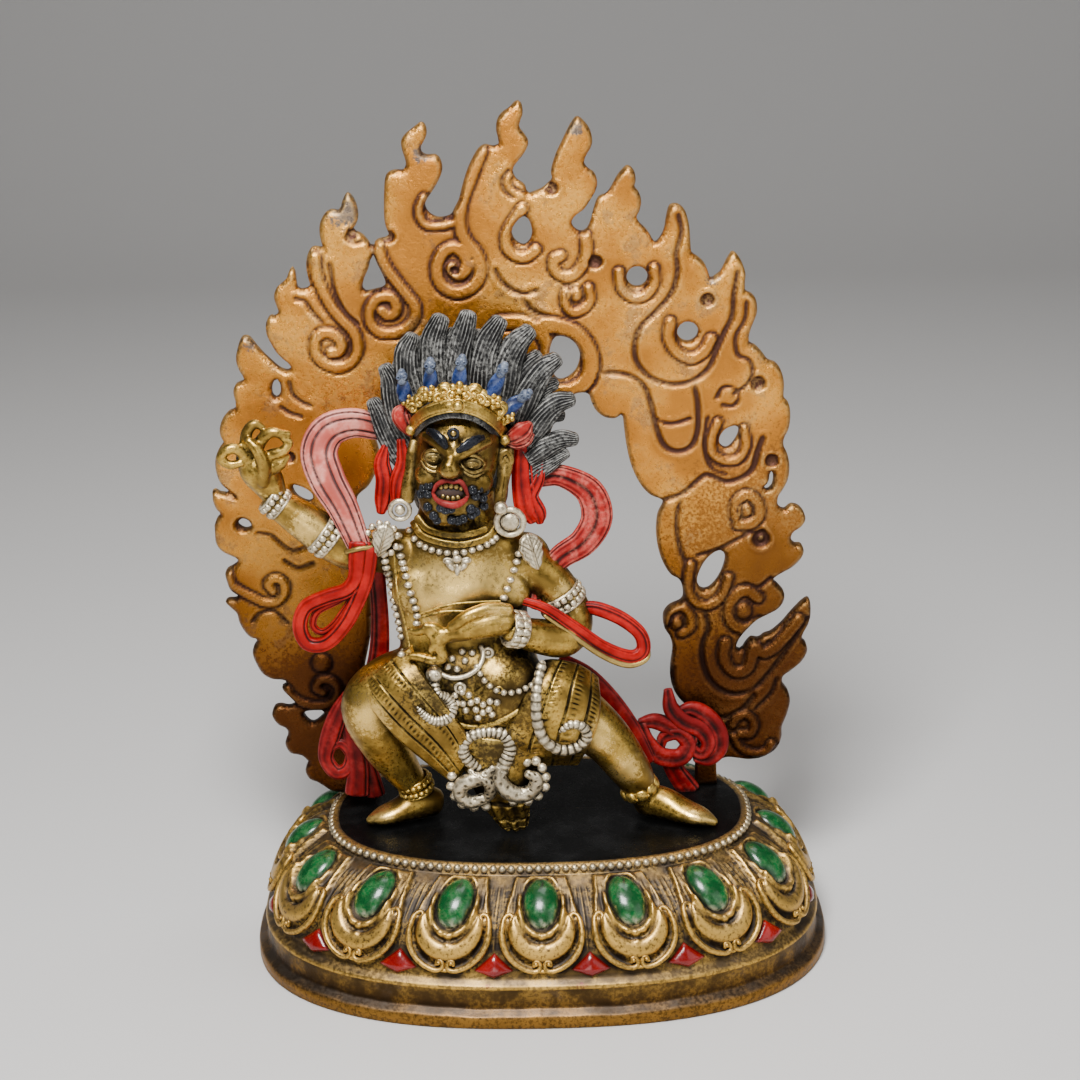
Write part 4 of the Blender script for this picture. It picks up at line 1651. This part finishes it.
DUST_COLOUR = (0.34, 0.3, 0.26)


def finish(name, main, light, dark, rough=0.4, metal=0.9, patina=1.0, reach=2.5, worn=None, worn_share=0.0,
           blotch=9.0, specks=0.35, dust=0.0, bumps=0.25, coat=0.0, grain=0.5, gleam=0.5, low=None,
           stain=None, spots=()):
    """A cast or painted surface: main colour with light blotches, dark patina in its creases, worn
    edges, fine specks and pale dust on top. A crease below 0 is a rubbed, bright place.

    low is (upper height, lower height, tint) of a part that darkens downwards. stain is (colour,
    share) of ragged patches. A spot is (x, y, z, radius, colour).
    """
    material = bpy.data.materials.new(name)
    material.use_nodes = True
    tree = material.node_tree
    tree.nodes.clear()
    place = wire(tree, "ShaderNodeTexCoord", {}).outputs["Object"]
    crease = wire(tree, "ShaderNodeAttribute", {}, attribute_name="crease").outputs["Fac"]
    shade = wire(tree, "ShaderNodeAmbientOcclusion", {"Distance": reach * MM}, samples=4).outputs["AO"]
    broad = speckle(tree, place, blotch)
    fine = speckle(tree, place, 1.1, 4.0, 0.7)
    point = wire(tree, "ShaderNodeNewGeometry", {}).outputs["Pointiness"]
    colour = mixed(tree, span(tree, broad, 0.42, 0.66), main, light)
    if stain:
        ragged = speckle(tree, place, 13, 7.0, 0.72)
        colour = mixed(tree, span(tree, ragged, 0.55, 0.62, 0, stain[1]), colour, stain[0])
    for x, y, z, radius, tint in spots:
        inputs = {0: place, 1: (x * MM, y * MM, z * MM)}
        far = wire(tree, "ShaderNodeVectorMath", inputs, operation="DISTANCE").outputs["Value"]
        far = maths(tree, "ADD", far, span(tree, fine, 0.3, 0.7, -0.35 * radius * MM, 0.35 * radius * MM))
        colour = mixed(tree, span(tree, far, radius * MM, 0.6 * radius * MM, 0, 0.95), colour, tint)
    hollow = maths(tree, "ADD", span(tree, shade, 0.93, 0.45), crease)
    hollow = maths(tree, "ADD", hollow, span(tree, broad, 0.6, 0.3, 0, 0.25))
    hollow = maths(tree, "MULTIPLY", hollow, patina, clamp=True)
    colour = mixed(tree, hollow, colour, dark)
    speck = span(tree, fine, 0.66, 0.76, 0, specks)
    colour = mixed(tree, speck, colour, [0.4 * value for value in dark])
    if worn:
        edge = maths(tree, "MULTIPLY", span(tree, point, 0.51, 0.56), span(tree, fine, 0.38, 0.56, 0.3, 1))
        patch = maths(tree, "MULTIPLY", span(tree, fine, 0.42, 0.6), span(tree, broad, 0.4, 0.62))
        both = maths(tree, "ADD", edge, maths(tree, "MULTIPLY", patch, 0.5))
        rub = maths(tree, "MULTIPLY", both, worn_share, clamp=True)
        colour = mixed(tree, rub, colour, worn)
        rubbed = maths(tree, "MULTIPLY", crease, -0.9, clamp=True)
        rubbed = maths(tree, "MULTIPLY", rubbed, span(tree, fine, 0.34, 0.5))
        colour = mixed(tree, rubbed, colour, worn)
    if low:
        height = wire(tree, "ShaderNodeSeparateXYZ", {0: place}).outputs["Z"]
        colour = mixed(tree, span(tree, height, low[0] * MM, low[1] * MM), colour, low[2], "MULTIPLY")
    if dust:
        normal = wire(tree, "ShaderNodeNewGeometry", {}).outputs["Normal"]
        upward = wire(tree, "ShaderNodeSeparateXYZ", {0: normal}).outputs["Z"]
        settled = span(tree, fine, 0.3, 0.65, 0.5 * dust, dust)
        dusty = maths(tree, "MULTIPLY", span(tree, upward, 0.2, 0.95), settled)
        colour = mixed(tree, dusty, colour, DUST_COLOUR)
    roughness = span(tree, fine, 0.3, 0.7, rough - 0.08, rough + 0.1)
    roughness = maths(tree, "ADD", roughness, maths(tree, "MULTIPLY", hollow, 0.2))
    relief = wire(tree, "ShaderNodeBump", {"Height": fine, "Strength": bumps, "Distance": grain * MM * 0.5})
    inputs = {"Base Color": colour, "Roughness": roughness, "Metallic": metal, "Normal": relief.outputs[0],
              "Coat Weight": coat, "Coat Roughness": 0.12, "Specular IOR Level": gleam}
    shader = wire(tree, "ShaderNodeBsdfPrincipled", inputs)
    wire(tree, "ShaderNodeOutputMaterial", {"Surface": shader.outputs[0]})
    return material


# Stage

FLOOR_COLOUR = (0.6, 0.585, 0.57, 1)
SKY_COLOUR = (0.85, 0.87, 0.9, 1)


def stage_floor():
    """A pale floor that curves up behind the statue."""
    turns = np.linspace(0, np.pi / 2, 14)
    y = np.concatenate([[-1600, -300], 900 + 500 * np.sin(turns), [1400]])
    z = np.concatenate([[0, 0], 500 - 500 * np.cos(turns), [1800]]) - 0.02
    x = np.array([-2400, 2400])
    points = np.stack([x[None, :] + 0 * y[:, None], y[:, None] + 0 * x, z[:, None] + 0 * x], -1)
    mesh = bpy.data.meshes.new("floor")
    mesh.from_pydata((points.reshape(-1, 3) * MM).tolist(), [], grid_faces(len(y), 2, wrap=False).tolist())
    mesh.polygons.foreach_set("use_smooth", np.ones(len(mesh.polygons), bool))
    floor = bpy.data.objects.new("floor", mesh)
    bpy.context.scene.collection.objects.link(floor)
    material = bpy.data.materials.new("pale paper")
    material.use_nodes = True
    shader = material.node_tree.nodes["Principled BSDF"]
    shader.inputs["Base Color"].default_value = FLOOR_COLOUR
    shader.inputs["Roughness"].default_value = 0.8
    mesh.materials.append(material)


def area_light(name, place, size, power, aim=(0, 0, 120)):
    """A square soft light at a place, turned towards a point."""
    data = bpy.data.lights.new(name, "AREA")
    data.size = size * MM
    data.energy = power
    light = bpy.data.objects.new(name, data)
    bpy.context.scene.collection.objects.link(light)
    back = unit(np.array(place, float) - np.array(aim, float))
    side = unit(np.cross((0, 0, 1), back))
    up = np.cross(back, side)
    rows = [[side[i], up[i], back[i], place[i] * MM] for i in range(3)]
    light.matrix_world = Matrix(rows + [[0, 0, 0, 1]])


def stage_camera(settings):
    """The camera looks down at the statue, and is rolled a little."""
    data = bpy.data.cameras.new("camera")
    data.lens = settings.lens
    data.sensor_width = 36
    data.clip_end = 20
    camera = bpy.data.objects.new("camera", data)
    bpy.context.scene.collection.objects.link(camera)
    tilt = Matrix.Rotation(math.radians(90) - settings.camera_pitch, 4, "X")
    roll = Matrix.Rotation(-settings.camera_roll, 4, "Z")
    place = [value * MM for value in (CAMERA_X, CAMERA_Y, CAMERA_Z)]
    camera.matrix_world = Matrix.Translation(place) @ tilt @ roll
    bpy.context.scene.camera = camera


class StageSettings(bpy.types.PropertyGroup):
    """Camera and light of the stage."""
    lens: bpy.props.FloatProperty(
        name="Lens", description="Focal length", default=81.47, subtype="DISTANCE_CAMERA")
    camera_pitch: bpy.props.FloatProperty(
        name="Camera pitch", description="Angle that the camera looks down", default=CAMERA_TILT,
        subtype="ANGLE")
    camera_roll: bpy.props.FloatProperty(
        name="Camera roll", description="Clockwise roll of the camera", default=CAMERA_ROLL, subtype="ANGLE")
    key_power: bpy.props.FloatProperty(
        name="Key light", description="Power of the large light", default=11.5, unit="POWER")


class STATUE_OT_stage(bpy.types.Operator):
    """Adds the floor, the lights, the surroundings and the camera"""
    bl_idname = "statue.stage"
    bl_label = "Stage"

    def execute(self, context):
        settings = context.scene.statue_stage
        stage_floor()
        stage_camera(settings)
        key = settings.key_power
        area_light("key", (-90, -440, 680), 240, key, aim=(0, 0, 170))
        area_light("front", (-60, -950, 170), 300, key * 0.1, aim=(-10, 0, 110))
        area_light("fill", (760, -600, 420), 700, key * 0.2)
        area_light("top", (60, 160, 900), 420, key * 0.25, aim=(0, 0, 200))
        world = bpy.data.worlds.new("surroundings")
        world.use_nodes = True
        world.node_tree.nodes["Background"].inputs[0].default_value = SKY_COLOUR
        world.node_tree.nodes["Background"].inputs[1].default_value = 0.1
        context.scene.world = world
        return {"FINISHED"}


# Pieces and their finishes

def colour_setting(name, colour):
    return bpy.props.FloatVectorProperty(name=name, description="Main colour of the " + name.lower(), size=4,
                                         subtype="COLOR", min=0, max=1, default=(*colour, 1))


class StatueSettings(bpy.types.PropertyGroup):
    """Colours and sizes of the statue."""
    brass: colour_setting("Plinth brass", (0.13, 0.075, 0.02))
    jewel: colour_setting("Jewel", (0.002, 0.055, 0.011))
    lozenge: colour_setting("Lozenge", (0.16, 0.002, 0.002))
    bead_silver: colour_setting("Bead silver", (0.42, 0.35, 0.24))
    platform: colour_setting("Platform", (0.003, 0.003, 0.003))
    copper: colour_setting("Copper", (0.66, 0.25, 0.026))
    gold: colour_setting("Gold", (0.32, 0.19, 0.037))
    silver: colour_setting("Silver", (0.38, 0.31, 0.2))
    hair: colour_setting("Hair", (0.008, 0.008, 0.008))
    face_black: colour_setting("Face black", (0.003, 0.0035, 0.006))
    red: colour_setting("Red", (0.28, 0.001, 0.001))
    crimson: colour_setting("Crimson", (0.18, 0.002, 0.003))
    worn_red: colour_setting("Worn red", (0.3, 0.008, 0.006))
    faded_red: colour_setting("Faded red", (0.46, 0.08, 0.055))
    blue: colour_setting("Blue", (0.001, 0.012, 0.075))
    rim_bead: bpy.props.FloatProperty(
        name="Rim bead", description="Half width of a bead on the plinth's rim", default=0.00132,
        unit="LENGTH")
    jewel_height: bpy.props.FloatProperty(
        name="Jewel height", description="Height of a jewel's dome", default=0.0033, unit="LENGTH")


class STATUE_OT_plinth(bpy.types.Operator):
    """Lotus plinth with petals, jewels, lozenges, beads and platform"""
    bl_idname = "statue.plinth"
    bl_label = "Lotus plinth"

    def execute(self, context):
        look = context.scene.statue_look
        wine = (0.12, 0.01, 0.02)
        side = finish("plinth brass", look.brass[:], (0.23, 0.135, 0.034), (0.014, 0.009, 0.006), 0.38,
                      0.9, reach=3, worn=(0.62, 0.37, 0.075), worn_share=0.9, dust=0.16,
                      low=(14, 5, (0.42, 0.34, 0.27)), stain=((0.2, 0.15, 0.12), 0.25),
                      spots=((-16.5, -62, 13.8, 2.4, wine), (11.9, -62, 13.2, 2.2, wine)))
        jewel = finish("green jewel", look.jewel[:], (0.006, 0.095, 0.022), (0.001, 0.005, 0.003), 0.25,
                       0.0, specks=0.6, coat=0.4, bumps=0.2, gleam=0.3, blotch=4, worn=(0.5, 0.46, 0.3),
                       worn_share=0.1)
        lozenge = finish("red lozenge", look.lozenge[:], (0.24, 0.005, 0.004), (0.015, 0.002, 0.002), 0.25,
                         0.0, patina=0.5, coat=0.4, bumps=0.15, gleam=0.3)
        silver = finish("bead silver", look.bead_silver[:], (0.5, 0.38, 0.2), (0.03, 0.022, 0.012), 0.34,
                        0.88, patina=1.4, reach=3, worn=(0.72, 0.6, 0.38), worn_share=0.4)
        black = finish("black platform", look.platform[:], (0.006, 0.006, 0.006), (0.001, 0.001, 0.001),
                       0.3, 0.0, specks=0.1, bumps=0.0, gleam=0.06)
        plinth_piece().cast("lotus_plinth_side", "plinth_brass", side, "lotus_plinth")
        scrolls_piece().cast("petal_scrolls", "plinth_brass", side)
        jewels_piece(look.jewel_height / MM).cast("petal_jewels", "plinth_brass", jewel)
        lozenges_piece().cast("petal_lozenges", "plinth_brass", lozenge)
        rim_beads_piece(look.rim_bead / MM).cast("rim_beads", "plinth_brass", silver)
        platform_piece().cast("platform", "plinth_brass", black)
        return {"FINISHED"}


class STATUE_OT_aureole(bpy.types.Operator):
    """Flame aureole: pierced and carved plate on two posts"""
    bl_idname = "statue.aureole"
    bl_label = "Flame aureole"

    def execute(self, context):
        look = context.scene.statue_look
        grey = (0.2, 0.165, 0.135)
        shaded = (0.4, 0.15, 0.022)
        worn_tips = ((80, 15, 120, 42, shaded), (70, 15, 75, 30, shaded), (-70, 15, 70, 28, shaded),
                     (-54, 15, 231, 6.5, grey), (-84, 15, 192, 4, grey), (-31, 15, 247, 3, grey),
                     (14, 15, 254, 3, grey), (61, 15, 221, 3, grey), (55, 15, 208, 2.5, grey),
                     (83, 15, 151, 3, grey))
        copper = finish("aureole copper", look.copper[:], (0.85, 0.38, 0.05), (0.07, 0.028, 0.018), 0.3,
                        0.9, patina=1.2, reach=3.6, worn=(0.85, 0.52, 0.17), worn_share=0.4, blotch=26,
                        specks=0.5, bumps=0.5, grain=1.2, low=(160, 78, (0.19, 0.145, 0.125)),
                        stain=((0.2, 0.12, 0.085), 0.45), spots=worn_tips)
        aureole_piece().cast("flame_aureole_plate", "aureole_copper", copper, "flame_aureole")
        posts_piece().cast("aureole_posts", "aureole_copper", copper)
        return {"FINISHED"}


# Places where the gilding is rubbed pale or has darkened: x, y, z, radius, colour
PALE = (0.85, 0.57, 0.17)
SHADED = (0.12, 0.072, 0.018)
DIM = (0.06, 0.04, 0.015)
DARKEST = (0.03, 0.02, 0.01)
POLISHED = [(-24, -20, 156, 15, SHADED), (-23, -14, 141, 8, DARKEST), (-11, -25, 92, 17, SHADED),
            (-13, -20, 74, 11, DIM), (-2, -20, 50, 10, SHADED), (-30, -22, 92, 12, DIM),
            (-31, -16, 122, 12, PALE), (-13, -16, 122, 12, PALE), (-22, -17, 124, 10, PALE),
            (-50, -20, 84, 8, PALE), (16, -19, 74, 8, PALE), (-50, -11, 45, 6, PALE),
            (50, -15, 45, 6, PALE), (-66, -15, 142, 7, PALE), (26, -15, 62, 6, PALE),
            (11, -10, 118, 6, PALE)]


class STATUE_OT_figure(bpy.types.Operator):
    """Gilt body, head, hands and skirt of the figure"""
    bl_idname = "statue.figure"
    bl_label = "Figure"

    def execute(self, context):
        look = context.scene.statue_look
        gold = finish("old gilt brass", look.gold[:], (0.5, 0.305, 0.055), (0.012, 0.008, 0.004), 0.3,
                      0.95, reach=6, patina=1.4, worn=(0.85, 0.58, 0.14), worn_share=0.7, specks=0.12,
                      bumps=0.15, spots=POLISHED)
        face = finish("dark gilt face", (0.17, 0.1, 0.018), (0.3, 0.185, 0.04), (0.01, 0.007, 0.004), 0.28,
                      0.95, reach=3, patina=1.6, worn=(0.7, 0.5, 0.17), worn_share=0.35, specks=0.2,
                      bumps=0.15)
        body = body_piece()
        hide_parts("figure")
        fuse(body, 0.75, 5, gold)
        fuse(head_piece().cast("figure_head", "figure_brass", None), 0.4, 2, face)
        fuse(hands_piece().cast("figure_hands", "figure_brass", None), 0.42, 2, gold)
        face_gold_piece().cast("face_relief", "figure_brass", face)
        crown_piece().cast("crown", "figure_brass", gold)
        body = search_trees(["figure_body"])
        skirt_piece(body).cast("skirt", "figure_brass", gold)
        collars = Mould()
        for text in COLLARS:
            sweep(collars, laid(on_body(text), body, 0.3), [1.1], [0.6], around=14, per=6, power=3)
        for text in CHEST_CREASES:
            line = laid(smooth_line(on_body(text)), body, -0.1, soften=2)
            sweep(collars, line, [0.45], [0.35], around=8, per=2, crease=lambda u, a: 0.9 + 0 * u)
        belt = laid(smooth_line(on_body(BELT)), body, 0.2, soften=4)
        sweep(collars, belt, [0.9], [0.7], around=10, per=2,
              crease=lambda u, a: 0.5 - 0.5 * np.cos(a) + 0 * u)
        ring_round(collars, laid([NAVEL], body, 0.1)[0], 0.95, 0.35)
        bangle(collars, (-38.6, -5.8, 53.4), (0.3, 0.1, -1), 5.0, count=17, size=(0.95, 0.9, 0.9))
        bangle(collars, (31.2, -8.4, 52.2), (0.4, 0.1, -1), 5.2, rows=(0,), count=9, size=(1.9, 1.2, 1.9))
        collars.cast("collars", "figure_brass", gold)
        return {"FINISHED"}


class STATUE_OT_ornaments(bpy.types.Operator):
    """Hair, painted face parts, silver jewellery, snakes and scarf"""
    bl_idname = "statue.ornaments"
    bl_label = "Hair, jewellery and scarf"

    def execute(self, context):
        look = context.scene.statue_look
        silver = finish("worn silver", look.silver[:], (0.56, 0.48, 0.33), (0.018, 0.013, 0.007), 0.34,
                        0.88, patina=1.5, reach=3.5, worn=(0.92, 0.8, 0.57), worn_share=0.7)
        hair = finish("black hair", look.hair[:], (0.016, 0.016, 0.015), (0.001, 0.001, 0.001), 0.33, 0.1,
                      worn=(0.4, 0.39, 0.36), worn_share=0.5, reach=1.5, gleam=0.2)
        black = finish("black face paint", look.face_black[:], (0.006, 0.007, 0.012),
                       (0.001, 0.001, 0.001), 0.16, 0.0, worn=(0.3, 0.32, 0.35), worn_share=0.03, reach=1,
                       gleam=0.22)
        red = finish("red paint", look.red[:], (0.4, 0.004, 0.002), (0.012, 0.001, 0.001), 0.34, 0.0,
                     worn=(0.5, 0.06, 0.045), worn_share=0.2, reach=2, gleam=0.15)
        crimson = finish("dull crimson paint", look.crimson[:], (0.27, 0.006, 0.006), (0.01, 0.001, 0.001),
                         0.38, 0.0, worn=(0.3, 0.07, 0.06), worn_share=0.3, reach=2, blotch=6, patina=1.3,
                         gleam=0.15)
        worn_red = finish("worn red paint", look.worn_red[:], (0.42, 0.05, 0.04), (0.02, 0.002, 0.002),
                          0.38, 0.0, worn=(0.6, 0.24, 0.17), worn_share=0.4, reach=2, blotch=5, gleam=0.15)
        pink = finish("faded red paint", look.faded_red[:], (0.6, 0.2, 0.15), (0.04, 0.006, 0.005), 0.42,
                      0.0, worn=(0.68, 0.36, 0.3), worn_share=0.5, reach=2, patina=1.3, gleam=0.3)
        blue = finish("blue paint", look.blue[:], (0.002, 0.02, 0.12), (0.001, 0.003, 0.015), 0.3, 0.0,
                      worn=(0.25, 0.33, 0.5), worn_share=0.15, reach=1.5, gleam=0.3)
        grey = finish("blue grey tops", (0.008, 0.02, 0.055), (0.05, 0.065, 0.1), (0.003, 0.008, 0.03),
                      0.35, 0.1, worn=(0.36, 0.4, 0.46), worn_share=0.22, reach=1.5, blotch=2, patina=1.2,
                      gleam=0.3)
        dark = finish("mouth hollow", (0.03, 0.012, 0.006), (0.04, 0.016, 0.008), (0.006, 0.002, 0.001),
                      0.5, 0.0)
        gold = finish("scarf gilding", (0.42, 0.28, 0.08), (0.55, 0.38, 0.12), (0.03, 0.02, 0.01), 0.38,
                      0.9)
        trees = search_trees(["figure_body", "skirt"])
        mouth_piece().cast("mouth_hollow", "figure_brass", dark)
        hair_piece().cast("hair", "figure_brass", hair)
        brows_piece().cast("brows_and_beard", "figure_brass", black)
        head_band_piece().cast("head_band", "figure_brass", hair)
        finials_piece().cast("crown_finials", "figure_brass", blue)
        finial_tops_piece().cast("finial_tops", "figure_brass", grey)
        lips_piece().cast("lips", "figure_brass", crimson)
        silver_piece(trees).cast("silver_jewellery", "figure_brass", silver)
        snakes_piece(trees).cast("snakes_and_claws", "figure_brass", silver)
        scarf_piece().cast("red_scarf", "figure_brass", red)
        low_ribbons_piece().cast("low_ribbons", "figure_brass", crimson)
        right_arc_piece().cast("right_arc", "figure_brass", worn_red)
        faded_piece().cast("faded_scarf", "figure_brass", pink)
        scarf_edge_piece().cast("scarf_gilding", "figure_brass", gold)
        return {"FINISHED"}


class STATUE_PT_panel(bpy.types.Panel):
    """Lists the pieces of the statue"""
    bl_idname = "STATUE_PT_panel"
    bl_label = "Statue"
    bl_space_type = "VIEW_3D"
    bl_region_type = "UI"
    bl_category = "Statue"

    def draw(self, context):
        for operator in OPERATORS:
            self.layout.operator(operator.bl_idname)
        for settings in (context.scene.statue_look, context.scene.statue_stage):
            for key in type(settings).__annotations__:
                self.layout.prop(settings, key)


OPERATORS = (STATUE_OT_stage, STATUE_OT_plinth, STATUE_OT_aureole, STATUE_OT_figure, STATUE_OT_ornaments)
CLASSES = (StatueSettings, StageSettings, *OPERATORS, STATUE_PT_panel)


def register():
    for kind in CLASSES:
        bpy.utils.register_class(kind)
    bpy.types.Scene.statue_look = bpy.props.PointerProperty(type=StatueSettings)
    bpy.types.Scene.statue_stage = bpy.props.PointerProperty(type=StageSettings)


def unregister():
    del bpy.types.Scene.statue_look
    del bpy.types.Scene.statue_stage
    for kind in reversed(CLASSES):
        bpy.utils.unregister_class(kind)


def main():
    register()
    for operator in OPERATORS:
        group, verb = operator.bl_idname.split(".")
        getattr(getattr(bpy.ops, group), verb)()
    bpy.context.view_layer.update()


if __name__ == "__main__":
    main()
